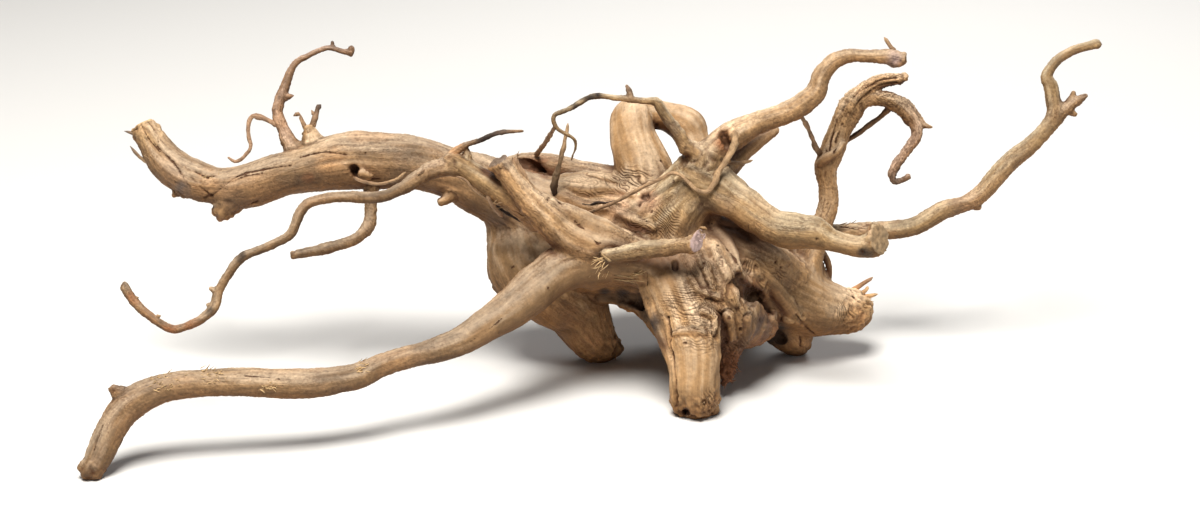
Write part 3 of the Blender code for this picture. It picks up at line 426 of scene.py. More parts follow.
# tufts of straw: centre, spread across and up, how many, length, heading in degrees, how far the
# headings spread, half-width, tint
fibres = [
    ((6, -7), 7, 6, 26, 13, 200, 60, 0.7, "straw"),
    ((27, -21), 14, 5, 12, 20, 8, 22, 0.8, "straw"),
    ((-438, -128), 14, 7, 30, 7, 20, 40, 0.6, "straw"),
    ((-390, -116), 10, 7, 40, 6, 15, 45, 0.6, "straw"),
    ((-332, -130), 9, 4, 26, 6, 10, 45, 0.6, "straw"),
    ((-240, -110), 6, 6, 26, 6, 25, 40, 0.6, "straw"),
    ((-416, -121), 30, 8, 16, 6, 15, 30, 0.5, "straw"),
    ((-393, 78), 12, 8, 16, 6, 20, 50, 0.6, "straw"),
    ((-182, 88), 9, 4, 10, 10, 205, 25, 0.6, "brown"),
    ((133, -119), 10, 9, 26, 6, 290, 60, 0.7, "rot"),
    ((252, 29), 14, 4, 9, 12, 12, 16, 0.7, "pink"),
    ((264, -42), 6, 15, 30, 6, 0, 40, 0.7, "freshCut"),
    ((101, 20), 5, 5, 12, 5, 60, 80, 0.7, "pinkCut"),
    ((-88, 98), 8, 3, 12, 5, 95, 50, 0.6, "brown"), ((-102, 53), 8, 5, 6, 9, 215, 25, 0.5, "pale"),
    ((-448, 106), 10, 12, 8, 8, 120, 30, 0.6, "pale"),
    ((-395, 78), 10, 6, 12, 4, 60, 80, 0.6, "rust"), ((46, 56), 9, 8, 14, 5, 60, 90, 0.6, "flesh"),
    ((106, -146), 9, 6, 12, 4, 260, 60, 0.6, "pale"),
    ((0, -96), 20, 6, 12, 4, 260, 50, 0.6, "rust"),
]

threadFinish = {  # thread: its tint at the start and at the end
    "loopRoot": ("pale", "brown"), "hangTwig": ("pale", "charAndShade"), "pinkTwig": ("pink", "pink"),
    "bridgeTwig": ("brown", "brown"), "darkThread": ("charAndShade", "dark"),
    "armThread": ("brown", "pale"), "armDrop": ("brown", "pink"), "darkDrop": ("charAndShade", "charAndShade"),
    "curlTwig": ("pink", "pink"), "coneTwigA": ("brown", "brown"), "coneTwigB": ("brown", "dark"),
    "coneTwigC": ("brown", "pink"), "splinterA": ("pale", "bark"), "splinterB": ("pale", "bark"),
    "spikeA": ("rust", "pink"), "spikeB": ("rust", "freshCut"), "spikeC": ("rust", "freshCut"),
}


def place(points):
    # world = middle + step * ((across right + up up) * (1 + behind / distance) + behind away)
    points = np.asarray(points, float)
    across, up, behind = points[..., 0:1], points[..., 1:2], points[..., 2:3]
    grow = 1.0 + behind / drawing["distance"]
    return middle + step * ((across * sightRight + up * sightUp) * grow + behind * sightAway)


def drawn(points):
    # the inverse of place: (across, up, behind) of world points
    local = (points - middle) / step
    behind = local @ sightAway
    grow = 1.0 + behind / drawing["distance"]
    return np.stack([local @ sightRight / grow, local @ sightUp / grow, behind], axis=-1)


def smoothRoute(route, spacing):
    # Catmull-Rom: a cubic through each pair of points that also heeds the point before and after
    p = np.array(route, float)
    padded = np.vstack([2 * p[0] - p[1], p, 2 * p[-1] - p[-2]])
    stretches = []
    for before, start, end, after in zip(padded, padded[1:], padded[2:], padded[3:]):
        cuts = max(2, int(np.linalg.norm((end - start)[:3]) / spacing))
        t = (np.arange(cuts) / cuts)[:, None]
        stretches.append(0.5 * (
            2 * start + (end - before) * t + (2 * before - 5 * start + 4 * end - after) * t**2
            + (3 * start - before - 3 * end + after) * t**3
        ))
    return np.vstack(stretches + [p[-1:]])


def unit(vectors):
    # each vector over its own length
    return vectors / np.maximum(np.linalg.norm(vectors, axis=-1, keepdims=True), 1e-12)


def makeLimb(name, route, spacing=4.0):
    # a limb in metres: the middle line, its radius, the way run along it, and two side directions
    # that turn with the line without twisting round it
    dense = smoothRoute(route, spacing)
    line = place(dense[:, :3])
    radius = dense[:, 3] * (1.0 + dense[:, 2] / drawing["distance"]) * step
    run = np.diff(line, axis=0)
    length = np.linalg.norm(run, axis=1)
    tangent = run / length[:, None]
    side = np.cross(tangent[0], [0.3, 0.5, 0.81])
    sides = []
    for t in tangent:
        side = unit(side - t * (side @ t))
        sides.append(side)
    sides = np.array(sides)
    along = np.concatenate([[0.0], np.cumsum(length)])
    return {"name": name, "line": line, "radius": radius, "run": run, "length": length,
            "tangent": tangent, "side": sides, "other": np.cross(tangent, sides), "along": along}


def measure(points, limb, k):
    # distance to stretch k of the limb's middle line less the radius there, and the share along it
    offset = points - limb["line"][k]
    run = limb["run"][k]
    share = np.clip((offset * run).sum(-1) / (run * run).sum(-1), 0.0, 1.0)
    gap = np.linalg.norm(offset - run * share[..., None], axis=-1)
    radius = limb["radius"][k] * (1.0 - share) + limb["radius"][k + 1] * share
    return gap - radius, share


def nearby(points, limb, guess):
    # the nearest of the guessed stretch and its two neighbours
    last = len(limb["run"]) - 1
    best = np.full(len(points), np.inf)
    bestK = np.zeros(len(points), int)
    bestShare = np.zeros(len(points))
    for shift in (-1, 0, 1):
        k = np.clip(guess + shift, 0, last)
        gap, share = measure(points, limb, k)
        closer = gap < best
        best = np.where(closer, gap, best)
        bestK = np.where(closer, k, bestK)
        bestShare = np.where(closer, share, bestShare)
    return best, bestK, bestShare


def softMin(a, b, k):
    # the lower of the two, rounded off where they differ by less than k, as wood fills a fork:
    # the minimum less h cubed times k / 6, with h falling from 1 to 0 as they differ
    h = np.maximum(k - np.abs(a - b), 0.0) / k
    return np.minimum(a, b) - h**3 * k / 6.0


lattice = {
    "cell": 1.1 * mm,  # distance between sample points
    "block": 4,  # samples along one side of a block
    "reach": 14 * mm,  # how far from its limb a block is still looked at
    "band": 8.5 * mm,  # blocks with the surface nearer than this are sampled finely
    "forkShare": 0.55,  # how far a fork is filled, as a share of the thinner limb
    "forkLeast": 0.6 * mm,
    "forkMost": 7 * mm,
    "margin": 8 * mm,  # room round the limbs
    "below": 6 * mm,  # room under the floor
    "hollowReach": 10 * mm,  # how far from a hollow its rim is worked out
    "hollowRim": 2.5 * mm,  # how softly the rim is rounded
    "carveReach": 60 * mm,  # blocks with the surface nearer than this are carved
    "grainFade": 4 * mm,  # how fast a limb's say in the grain's direction falls off
}


def lineGap(points, start, end):
    # distance to the stretch of line between two points
    run = end - start
    share = np.clip((points - start) @ run / max(run @ run, 1e-12), 0.0, 1.0)
    return np.linalg.norm(points - start - share[:, None] * run, axis=1)


def carve(points, field, hollows, cuts):
    # hollows are taken out with a soft rim, sawn ends with a sharp one, and the floor cuts all
    for start, end, radius in hollows:
        gap = lineGap(points, start, end) - radius
        near = gap < lattice["hollowReach"]
        if near.any():
            field[near] = -softMin(-field[near], gap[near], lattice["hollowRim"])
    for at, outward, reach in cuts:
        offset = points - at
        near = (offset**2).sum(1) < reach**2
        if near.any():
            field[near] = np.maximum(field[near], offset[near] @ outward)
    return np.maximum(field, -points[:, 2])


def gridOf(sides):
    # every combination of the whole numbers on each side, one row each
    return np.stack(np.meshgrid(*sides, indexing="ij"), -1).reshape(-1, len(sides))


def sampleWood(limbs, hollows, cuts):
    # signed distance to the wood, below zero inside it: coarse on block centres, then fine on the
    # samples of the blocks that the surface may cross
    cell, block = lattice["cell"], lattice["block"]
    margin = lattice["margin"]
    low = np.min([(l["line"] - l["radius"][:, None]).min(0) for l in limbs], axis=0) - margin
    high = np.max([(l["line"] + l["radius"][:, None]).max(0) for l in limbs], axis=0) + margin
    low[2] = -lattice["below"]
    size = cell * block
    shape = np.ceil((high - low) / size).astype(int)
    halfBlock = (block - 1) / 2 * cell
    coarse = np.full(shape, 1.0)
    tensor = np.zeros((6,) + tuple(shape))
    seen = []
    for limb in limbs:
        pad = limb["radius"].max() + lattice["reach"]
        first = np.maximum(((limb["line"].min(0) - pad - low) / size).astype(int), 0)
        last = np.minimum(((limb["line"].max(0) + pad - low) / size).astype(int) + 1, shape)
        index = gridOf([np.arange(a, b) for a, b in zip(first, last)])
        centre = low + index * size + halfBlock
        best = np.full(len(centre), np.inf)
        bestK = np.zeros(len(centre), int)
        for k in range(len(limb["run"])):
            gap, _ = measure(centre, limb, k)
            closer = gap < best
            best[closer] = gap[closer]
            bestK[closer] = k
        keep = best < lattice["reach"]
        index, best, bestK = index[keep], best[keep], bestK[keep]
        at = tuple(index.T)
        coarse[at] = np.minimum(coarse[at], best)
        seen.append((index, best, bestK))
    for limb, (index, best, bestK) in zip(limbs, seen):
        # the grain's direction, as the mean of tangent times tangent over the limbs near a block
        at = tuple(index.T)
        weight = np.exp(-(best - coarse[at]) / lattice["grainFade"])
        x, y, z = limb["tangent"][bestK].T
        for row, product in enumerate((x * x, y * y, z * z, x * y, x * z, y * z)):
            tensor[(row,) + at] += weight * product
    uncarved = coarse.copy()
    grid = gridOf([np.arange(n) for n in shape])
    close = np.abs(coarse.ravel()) < lattice["carveReach"]
    centre = low + grid[close] * size + halfBlock
    flat = coarse.ravel()
    flat[close] = carve(centre, flat[close], hollows, cuts)
    coarse = flat.reshape(shape)
    active = np.abs(coarse) < lattice["band"]
    row = np.full(shape, -1)
    row[active] = np.arange(active.sum())
    blocks = np.argwhere(active)
    inner = gridOf([np.arange(block)] * 3) * cell
    fine = np.full((len(blocks), block**3), 1.0)
    slack = lattice["forkMost"] + 2 * size
    for limb, (index, best, bestK) in zip(limbs, seen):
        at = tuple(index.T)
        keep = active[at] & (best < uncarved[at] + slack)
        rows = row[at][keep]
        if not len(rows):
            continue
        points = ((low + index[keep] * size)[:, None] + inner).reshape(-1, 3)
        gap, k, _ = nearby(points, limb, np.repeat(bestK[keep], block**3))
        thin = limb["radius"][k]
        blend = np.clip(thin * lattice["forkShare"], lattice["forkLeast"], lattice["forkMost"])
        mixed = softMin(fine[rows].ravel(), gap, blend)
        fine[rows] = mixed.reshape(len(rows), -1)
    points = ((low + blocks * size)[:, None] + inner).reshape(-1, 3)
    fine = carve(points, fine.ravel(), hollows, cuts).reshape(len(blocks), -1)
    print(f"sampled {len(blocks)} blocks")
    return {"low": low, "size": size, "cell": cell, "block": block, "shape": shape, "row": row,
            "fine": fine, "coarse": coarse, "tensor": tensor, "seen": seen}


def rowOf(index, shape):
    # the place of whole-number coordinates in an array of this shape laid out in one row
    return (index[:, 0] * shape[1] + index[:, 1]) * shape[2] + index[:, 2]


def valueAt(wood, index):
    # the sample with these whole-number coordinates; far from the surface only its sign counts
    block = wood["block"]
    index = np.clip(index, 0, np.array(wood["shape"]) * block - 1)
    home = index // block
    spot = index - home * block
    row = wood["row"][tuple(home.T)]
    value = wood["fine"][row, rowOf(spot, (block, block, block))]
    return np.where(row < 0, wood["coarse"][tuple(home.T)], value)


def skin(wood):
    # surface nets: a vertex in each cell that the surface crosses, at the mean of the crossings of
    # its edges, and a quad round each lattice edge whose two ends differ in sign
    block, shape = wood["block"], wood["shape"]
    inside = np.zeros(tuple(shape) + (block,) * 3, bool)
    inside[...] = (wood["coarse"] < 0)[..., None, None, None]
    inside[wood["row"] >= 0] = (wood["fine"] < 0).reshape((-1,) + (block,) * 3)
    inside = np.ascontiguousarray(inside.transpose(0, 3, 1, 4, 2, 5)).reshape(shape * block)
    every, some = True, False
    for corner in np.ndindex(2, 2, 2):
        part = inside[tuple(slice(s, n - 1 + s) for s, n in zip(corner, inside.shape))]
        every, some = every & part, some | part
    cells = np.argwhere(some & ~every)  # whose corners aren't all on one side
    total, count = np.zeros((len(cells), 3)), np.zeros(len(cells))
    for axis in range(3):
        for u, v in np.ndindex(2, 2):
            start = np.insert([u, v], axis, 0)
            stop = np.insert([u, v], axis, 1)
            a, b = valueAt(wood, cells + start), valueAt(wood, cells + stop)
            crossed = (a < 0) != (b < 0)
            share = np.where(crossed, a / np.where(crossed, a - b, 1.0), 0.0)
            spot = start + (stop - start) * share[:, None]
            total += spot * crossed[:, None]
            count += crossed
    vertices = wood["low"] + (cells + total / count[:, None]) * wood["cell"]
    span = np.array(inside.shape)
    key = rowOf(cells, span)
    quads = []
    for axis in range(3):
        first, second = (axis + 1) % 3, (axis + 2) % 3
        head = np.moveaxis(inside, axis, 0)
        edges = np.argwhere(head[:-1] != head[1:])
        order = [axis] + [n for n in range(3) if n != axis]
        edge = np.empty_like(edges)
        edge[:, order] = edges
        outward = inside[tuple(edge.T)]
        ring = []
        for du, dv in ((-1, -1), (0, -1), (0, 0), (-1, 0)):
            cell = edge.copy()
            cell[:, first] += du
            cell[:, second] += dv
            ring.append(np.searchsorted(key, rowOf(cell, span)))
        ring = np.stack(ring, 1)
        ring[~outward] = ring[~outward][:, ::-1]
        quads.append(ring)
    quads = np.vstack(quads)
    print(f"skin of {len(vertices)} vertices and {len(quads)} quads")
    return vertices, quads, cells


def scatter(index, values, size):
    # the sum of the rows of values that share an index
    return np.stack([np.bincount(index, values[:, c], size) for c in range(values.shape[1])], 1)


def relax(vertices, quads, times, share):
    # each vertex moves a share of the way to the mean of its neighbours
    count = np.bincount(quads.ravel(), minlength=len(vertices)) * 2.0
    for _ in range(times):
        total = np.zeros_like(vertices)
        for corner in range(4):
            beside = vertices[quads[:, corner - 1]] + vertices[quads[:, (corner + 1) % 4]]
            total += scatter(quads[:, corner], beside, len(vertices))
        vertices = vertices + share * (total / count[:, None] - vertices)
    return vertices


def normalsOf(vertices, quads):
    # a quad's normal is the cross product of its diagonals; a vertex sums those of its quads
    a, b, c, d = (vertices[quads[:, n]] for n in range(4))
    face = np.cross(c - a, d - b)
    total = np.zeros_like(vertices)
    for corner in range(4):
        total += scatter(quads[:, corner], face, len(vertices))
    return unit(total)


def between(read, base, share):
    # what read gives at the eight corners round each point, weighted by nearness along each axis
    total = 0.0
    for corner in np.ndindex(2, 2, 2):
        weight = np.prod(np.where(corner, share, 1.0 - share), axis=1)
        values = read(base + np.array(corner))
        total = total + weight.reshape((-1,) + (1,) * (values.ndim - 1)) * values
    return total


def fieldAt(wood, points):
    # the sampled distance, read between the lattice points
    where = (points - wood["low"]) / wood["cell"]
    base = np.floor(where).astype(int)
    return between(lambda index: valueAt(wood, index), base, where - base)


sighting = {
    "ahead": 300,  # steps before the middle of the drawing where the search starts
    "moves": 48,
    "longest": 40 * mm,  # the longest move
    "close": 0.1 * mm,  # near enough to stop at
    "hit": 1 * mm,  # a point further away than this has missed the wood
}


def land(limbs, spots):
    # where the viewer's line of sight through each (across, up) first meets the wood: the point
    # moves on by its distance from the nearest limb until it touches one; also whether it did
    spots = np.asarray(spots, float)
    eye = middle - sightAway * drawing["distance"] * step
    aim = place(np.concatenate([spots, np.zeros((len(spots), 1))], axis=1))
    ray = unit(aim - eye)
    gone = np.full(len(spots), (drawing["distance"] - sighting["ahead"]) * step)
    for _ in range(sighting["moves"]):
        points = eye + ray * gone[:, None]
        nearest = np.full(len(spots), np.inf)
        for limb in limbs:
            k = np.arange(len(limb["run"]))
            gap, _ = measure(points[:, None], limb, k[None])
            nearest = np.minimum(nearest, gap.min(1))
        move = np.minimum(nearest, sighting["longest"])
        gone += np.where(nearest > sighting["close"], move, 0.0)
    return eye + ray * gone[:, None], nearest < sighting["hit"]


def noiseVolume(seed, size, blur):
    # white noise on a repeating cube, blurred over blur cells, mean 0 and deviation 1
    volume = np.random.default_rng(seed).standard_normal((size,) * 3)
    wave = np.fft.fftfreq(size)
    half = np.fft.rfftfreq(size)
    square = wave[:, None, None]**2 + wave[None, :, None]**2 + half[None, None, :]**2
    filtered = np.fft.rfftn(volume) * np.exp(-2 * (math.pi * blur)**2 * square)
    smooth = np.fft.irfftn(filtered, s=volume.shape)
    return ((smooth - smooth.mean()) / smooth.std()).astype(np.float32)


# turned, so that the cube's repeats never line up with the lattice
turned = np.linalg.qr(np.random.default_rng(5).standard_normal((3, 3)))[0]
softNoise = noiseVolume(seed=11, size=96, blur=1.1)
hairNoise = noiseVolume(seed=12, size=160, blur=0.75)


def noise(points, feature, seed):
    # soft bumps about feature metres wide, three cells of the noise each; each seed reads another
    # part of it
    where = points @ turned * (3.0 / feature) + seed * 17.31
    base = np.floor(where).astype(int)
    share = where - base
    share = share * share * (3 - 2 * share)
    return between(lambda index: softNoise[tuple((index % len(softNoise)).T)], base, share)


def ridged(points, feature, seed):
    # sharp crests where the noise passes through zero: 1 less twice its size, on points that
    # are bent by other noise
    bend = np.stack([noise(points, 1.6 * feature, seed + n) for n in (3, 4, 5)], 1)
    height = noise(points + 0.35 * feature * bend, feature, seed)
    return 1.0 - 2.0 * np.minimum(np.abs(height), 1.0)


def flowAt(wood, points, way):
    # the grain's direction near way: the direction tensor between block centres, times way
    where = (points - wood["low"] - (wood["block"] - 1) / 2 * wood["cell"]) / wood["size"]
    limit = np.array(wood["shape"]) - 2
    base = np.clip(np.floor(where).astype(int), 0, limit)
    share = np.clip(where - base, 0.0, 1.0).astype(np.float32)
    tensor = between(lambda index: wood["flatTensor"][rowOf(index, wood["shape"])], base, share)
    xx, yy, zz, xy, xz, yz = tensor.T
    x, y, z = way.T
    return unit(np.stack([
        xx * x + xy * y + xz * z, xy * x + yy * y + yz * z, xz * x + yz * y + zz * z], 1))


streaks = {  # width of a streak, strides that it runs over
    "fine": (2.0 * mm, 12),
    "middle": (4.2 * mm, 18),
    "broad": (9.5 * mm, 24),
}
strides = [1.3 * mm] * 12 + [3.0 * mm] * 12  # steps along the grain to either side
strongest = 2.6  # streaks stay within this many deviations


def grainStreaks(wood, points, way):
    # noise averaged along the grain through each point, so it runs in streaks as wood does
    sums = {name: np.zeros(len(points), np.float32) for name in streaks}
    size = hairNoise.shape[0]
    for sign in (1.0, -1.0):
        spot, heading = points.copy(), way * sign
        for number, stride in enumerate(strides):
            for name, (width, reach) in streaks.items():
                if number < reach:
                    fade = math.cos(math.pi / 2 * number / reach) * stride
                    at = np.round(spot @ turned * (2.4 / width) + 31.7).astype(int) % size
                    sums[name] += fade * hairNoise[at[:, 0], at[:, 1], at[:, 2]]
            spot = spot + heading * stride
            if number % 2:
                heading = flowAt(wood, spot, heading)
    return {name: (total / total.std()).clip(-strongest, strongest)
            for name, total in sums.items()}


tintSpread = {"from": 1 * mm, "fade": 3.0 * mm}  # how a limb's tint gives way to the next one's
grainStretch = 0.12  # how much slower the fine grain changes along a limb than across it


def nearestLimb(wood, limbs, points, tints):
    # for each point the thickness, the way and the side coordinates of the limb that it lies on,
    # how near that limb's tip it is, and the limbs' tints mixed by nearness
    row = rowOf(((points - wood["low"]) / wood["size"]).astype(int), wood["shape"])
    guess = np.full(int(np.prod(wood["shape"])), -1)
    best = np.full(len(points), np.inf)
    thick, along = np.full(len(points), 5 * mm), np.zeros(len(points))
    ending, sideways = np.ones(len(points)), np.zeros((len(points), 3))
    way = np.tile([1.0, 0.0, 0.0], (len(points), 1))
    mixed, weight = np.zeros((len(points), 5)), np.zeros(len(points))
    for limb, (index, _, bestK) in zip(limbs, wood["seen"]):
        guess[:] = -1
        guess[rowOf(index, wood["shape"])] = bestK
        who = np.flatnonzero(guess[row] >= 0)
        if not len(who):
            continue
        gap, k, share = nearby(points[who], limb, guess[row[who]])
        tint = np.array(tints(limb["name"]))
        nearness = np.exp(-np.maximum(gap + tintSpread["from"], 0.0) / tintSpread["fade"])
        mixed[who] += nearness[:, None] * tint
        weight[who] += nearness
        closer = gap < best[who]
        who, k, share, gap = who[closer], k[closer], share[closer], gap[closer]
        best[who] = gap
        thick[who] = limb["radius"][k]
        along[who] = limb["along"][k] + share * limb["length"][k]
        ending[who] = (limb["along"][-1] - along[who]) / np.maximum(limb["radius"][-1], 1 * mm)
        offset = points[who] - limb["line"][k]
        way[who] = limb["tangent"][k]
        sideways[who, 0] = (offset * limb["side"][k]).sum(1)
        sideways[who, 1] = (offset * limb["other"][k]).sum(1)
        sideways[who, 2] = grainStretch * along[who]
    return {"thick": thick, "ending": ending, "flow": sideways, "way": way,
            "tint": mixed / np.maximum(weight, 1e-9)[:, None]}


def around(points, centre, wide, tall, deep):
    # 1 at the centre and soft to 0 outside an egg that is wide, tall and deep steps in half-size:
    # a bell curve of the fourth power of the distance
    offset = (points - centre) / step
    parts = (offset @ sightRight / wide, offset @ sightUp / tall, offset @ sightAway / deep)
    return np.exp(-(parts[0]**2 + parts[1]**2 + parts[2]**2)**2)


def fromPath(points, path):
    # distance to a line through the landed points, left endless further than the margin away
    nearest = np.full(len(points), np.inf)
    low, high = path.min(0) - lattice["margin"], path.max(0) + lattice["margin"]
    who = np.flatnonzero(((points > low) & (points < high)).all(1))
    for start, end in zip(path, path[1:]):
        nearest[who] = np.minimum(nearest[who], lineGap(points[who], start, end))
    return nearest


allRoutes = {**crownRoutes, **footRoutes, **backRoutes, **limbRoutes}
limbs = [makeLimb(name, route) for name, route in allRoutes.items()]
limbs.sort(key=lambda limb: -limb["radius"].max())  # thick first, so thin ones join onto them

for name, (path, sink) in raised.items():
    # a low ridge or knob: a limb laid along landed points and sunk into the wood
    spots = np.array([point[0] for point in path], float)
    depths = drawn(land(limbs, spots)[0])[:, 2]
    route = [(*spot, depth + sink, point[1]) for spot, depth, point in zip(spots, depths, path)]
    limbs.append(makeLimb(name, route, spacing=3.0))

sawnEnds = {  # limb: outward direction across, up and behind, shift along it, reach, finish
    "greatLimb": ((-0.50, 0.86, 0.10), 3, 40, "freshCut"),
    "rightArm": ((0.66, 0.16, -0.73), 2, 26, "oldCut"),
    "frontStub": ((-0.50, 0.80, -0.32), 3, 17, "bark"),
    "frontTwig": ((0.72, 0.05, -0.69), 1, 13, "pinkCut"),
    "frontLong": ((-0.30, -0.90, 0.30), 10, 26, "oldCut"),
}


def inSight(vector):
    # a way given across, up and away from the viewer, as a world direction of length 1
    across, up, away = unit(np.array(vector, float))
    return across * sightRight + up * sightUp + away * sightAway


cuts, cutFinish = [], []
for limb in limbs:
    if limb["name"] in sawnEnds:
        outward, shift, reach, finish = sawnEnds[limb["name"]]
        outward = inSight(outward)
        cuts.append((limb["line"][-1] + outward * shift * step, outward, reach * step))
        cutFinish.append(finish)

starts = land(limbs, [h[0] for h in hollows])[0]
ends = land(limbs, [h[1] for h in hollows])[0]
sinks = np.array([h[3] for h in hollows])[:, None] * step * sightAway
carved = [(a, b + s, h[2] * step) for a, b, s, h in zip(starts, ends, sinks, hollows)]
print("marks landed")

wood = sampleWood(limbs, carved, cuts)
wood["flatTensor"] = np.ascontiguousarray(wood["tensor"].reshape(6, -1).T.astype(np.float32))
vertices, quads, cells = skin(wood)
vertices = relax(vertices, quads, times=2, share=0.5)
normals = normalsOf(vertices, quads)
vertices = vertices - fieldAt(wood, vertices)[:, None] * normals
vertices = relax(vertices, quads, times=1, share=0.35)
normals = normalsOf(vertices, quads)


def linear(red, green, blue):
    # screen colour out of 255 to light: c plus 0.055, over 1.055, to the power 2.4
    c = np.array([red, green, blue]) / 255
    return np.where(c > 0.04045, ((c + 0.055) / 1.055)**2.4, c / 12.92)


palette = {
    "pale": linear(168, 137, 102), "olive": linear(157, 132, 98), "pink": linear(156, 124, 97),
    "brown": linear(146, 116, 88), "dark": linear(78, 64, 56), "bark": linear(104, 88, 76),
    "rust": linear(182, 134, 90), "rot": linear(126, 80, 50), "flesh": linear(190, 148, 118),
    "charAndShade": linear(40, 33, 29), "freshCut": linear(204, 168, 122), "straw": linear(212, 178, 130),
    # the crease and crack colours are painted shade, for creases, folds, grain grooves, cracks,
    # closed-in places and the insides of hollows
    "oldCut": linear(148, 124, 94), "pinkCut": linear(178, 154, 150), "creaseShade": linear(84, 48, 23),
    "tan": linear(143, 117, 88), "russet": linear(140, 92, 58), "crack": linear(40, 23, 12),
}

limbFinish = {  # limb: tint, how knobbly from 0 smooth to 1 rough as a twig, how deeply grooved
    "arm": ("olive", 0.15, 0.1), "armSpur": ("olive", 0.3, 0.2),
    "frontTwig": ("olive", 0.25, 0.15), "rightArm": ("olive", 0.0, 0.1),
    "yTrunk": ("olive", 0.0, 0.1), "upperRight": ("pale", 0.3, 0.1), "curly": ("tan", 0.4, 0.2),
    "curvedTwig": ("pink", 0.5, 0.3), "hookTwig": ("olive", 0.7, 0.2),
    "hookSpur": ("brown", 0.8, 0.3), "twigStub": ("brown", 0.9, 0.3),
    "darkTwig": ("brown", 0.8, 0.4), "upperProng": ("pale", 0.4, 1.2),
    "lowerProng": ("pale", 0.4, 1.2), "prongHook": ("pink", 0.7, 0.6),
    "prongTwig": ("brown", 0.7, 0.4), "farRight": ("olive", 0.2, 0.3),
    "farSpur": ("brown", 0.8, 0.6), "farKnee": ("pink", 0.8, 0.3),
    "hangingBranch": ("tan", 0.5, 0.4), "curvedTip": ("dark", 0.8, 0.2),
    "curvedBud": ("dark", 0.8, 0.2), "barkKnob": ("bark", 0.9, 0.3), "burlTail": ("rot", 1.0, 0.6),
    "lobeStrip": ("brown", 0.7, 0.3), "frontStub": ("pale", 0.2, 0.35),
    "stubStrand": ("pale", 0.2, 0.4), "longSpur": ("brown", 0.7, 0.4),
    "frontLong": ("tan", 0.15, 0.12), "verticalLimb": ("pale", 0.2, 0.45),
    "rearLog": ("tan", 0.1, 0.4), "greatLimb": ("tan", 0.1, 0.25), "ridge": ("pale", 0.0, 0.2),
}


def tintOf(name):
    # a limb's colour with how knobbly and grooved it is: pale and smooth if it isn't listed
    finish, knobbly, grooved = limbFinish.get(name, ("pale", 0.0, 0.0))
    return (*palette[finish], knobbly, grooved)


near = nearestLimb(wood, limbs, vertices, tintOf)
streak = grainStreaks(wood, vertices, near["way"])
print("grain traced")

relief = {
    "broad": 0.016,  # streaks and noise as shares of the limb's thickness
    "middle": 0.006,
    "lumps": 0.050,
    "twigLumps": 0.030,
    "bark": 0.07,
    "knobs": 0.09,
    "grooves": 0.13,
    "rags": 0.13,
    "grain": 0.06 * mm,  # the rest in metres
    "crown": 0.55 * mm,
    "burl": 1.7 * mm,
    "crumbs": 1.1 * mm,
    "sawMarks": 0.35 * mm,
    "grooveMost": 1.3 * mm,
    "ragMost": 0.8 * mm,
    "twig": 6 * mm,  # bark and knobs are as on a twig of this thickness at most
    "stout": (5 * mm, 13 * mm),  # thicknesses over which short lumps give way to broad ones
    "smoothing": 0.75,  # how much of the relief a smooth place loses
    "sawnLoss": 0.8,  # how much of it a sawn end loses
    "floorFade": (0.2 * mm, 2.5 * mm),  # heights over which relief begins above the floor
}


def ramp(value, low, high):
    # 0 below low and 1 above high, with a soft rise between: 3 t squared less 2 t cubed
    t = np.clip((value - low) / (high - low), 0.0, 1.0)
    return t * t * (3 - 2 * t)


markGroups = (wrinkles, knots, pits, stains, smoothPlaces, fibres, crumblyPlaces)
markSpots = [mark[0] for group in markGroups for mark in group]
markSpots += [point for path, _, _ in cracks for point in path]
markSpots += [centre for centre, _ in roughPlaces.values()]
landedPoints, hits = land(limbs, markSpots)  # all in one go, which is much faster
landed = dict(zip(markSpots, landedPoints))
print(f"{hits.sum()} of {len(hits)} marks are on the wood")


def roughPlace(name):
    # how far inside a named place each vertex is, from 0 to 1
    centre, size = roughPlaces[name]
    return around(vertices, landed[centre], *size)


# how far each vertex stands out from the plain limb, in metres
thick = np.clip(near["thick"], 1.2 * mm, 24 * mm)
twig = np.minimum(thick, relief["twig"])
knobbly, grooved = near["tint"][:, 3], near["tint"][:, 4]
stout = ramp(thick, *relief["stout"])
height = thick * (relief["broad"] * streak["broad"] + relief["middle"] * streak["middle"])
height += relief["lumps"] * thick * stout * noise(vertices, 26 * mm, 1)
height += relief["twigLumps"] * thick * (1 - stout) * noise(vertices, 12 * mm, 2)
height += relief["bark"] * twig * (0.3 + knobbly) * ridged(vertices, 2.6 * mm, 18)
height += relief["knobs"] * twig * knobbly * noise(vertices, 5.5 * mm, 3)
groove = np.abs(np.sin(math.pi * (0.9 * streak["middle"] + 0.4 * streak["broad"])))**0.6
grooveDepth = np.minimum(relief["grooves"] * thick, relief["grooveMost"])
height += grooved * grooveDepth * (groove - 0.75)
crownShare = roughPlace("crown")
height += relief["grain"] * (0.6 + 1.6 * crownShare) * streak["fine"]
height += crownShare * relief["crown"] * noise(vertices, 9 * mm, 4)
gnarl = roughPlace("burl")
folded = 0.8 * ridged(vertices, 17 * mm, 6) + 0.28 * streak["middle"] - 0.2
height += gnarl * relief["burl"] * folded
height += gnarl * relief["burl"] * 0.3 * (ridged(vertices, 7 * mm, 7) - 0.2)
crumbly = np.maximum.reduce([strength * around(vertices, landed[centre], *size)
                             for centre, size, strength in crumblyPlaces])
height += crumbly * relief["crumbs"] * (ridged(vertices, 4.2 * mm, 8) - 0.3)
ragDepth = np.minimum(relief["rags"] * thick, relief["ragMost"])
height += (1 - ramp(near["ending"], 0.2, 1.6)) * ragDepth * noise(vertices, 3.6 * mm, 9)

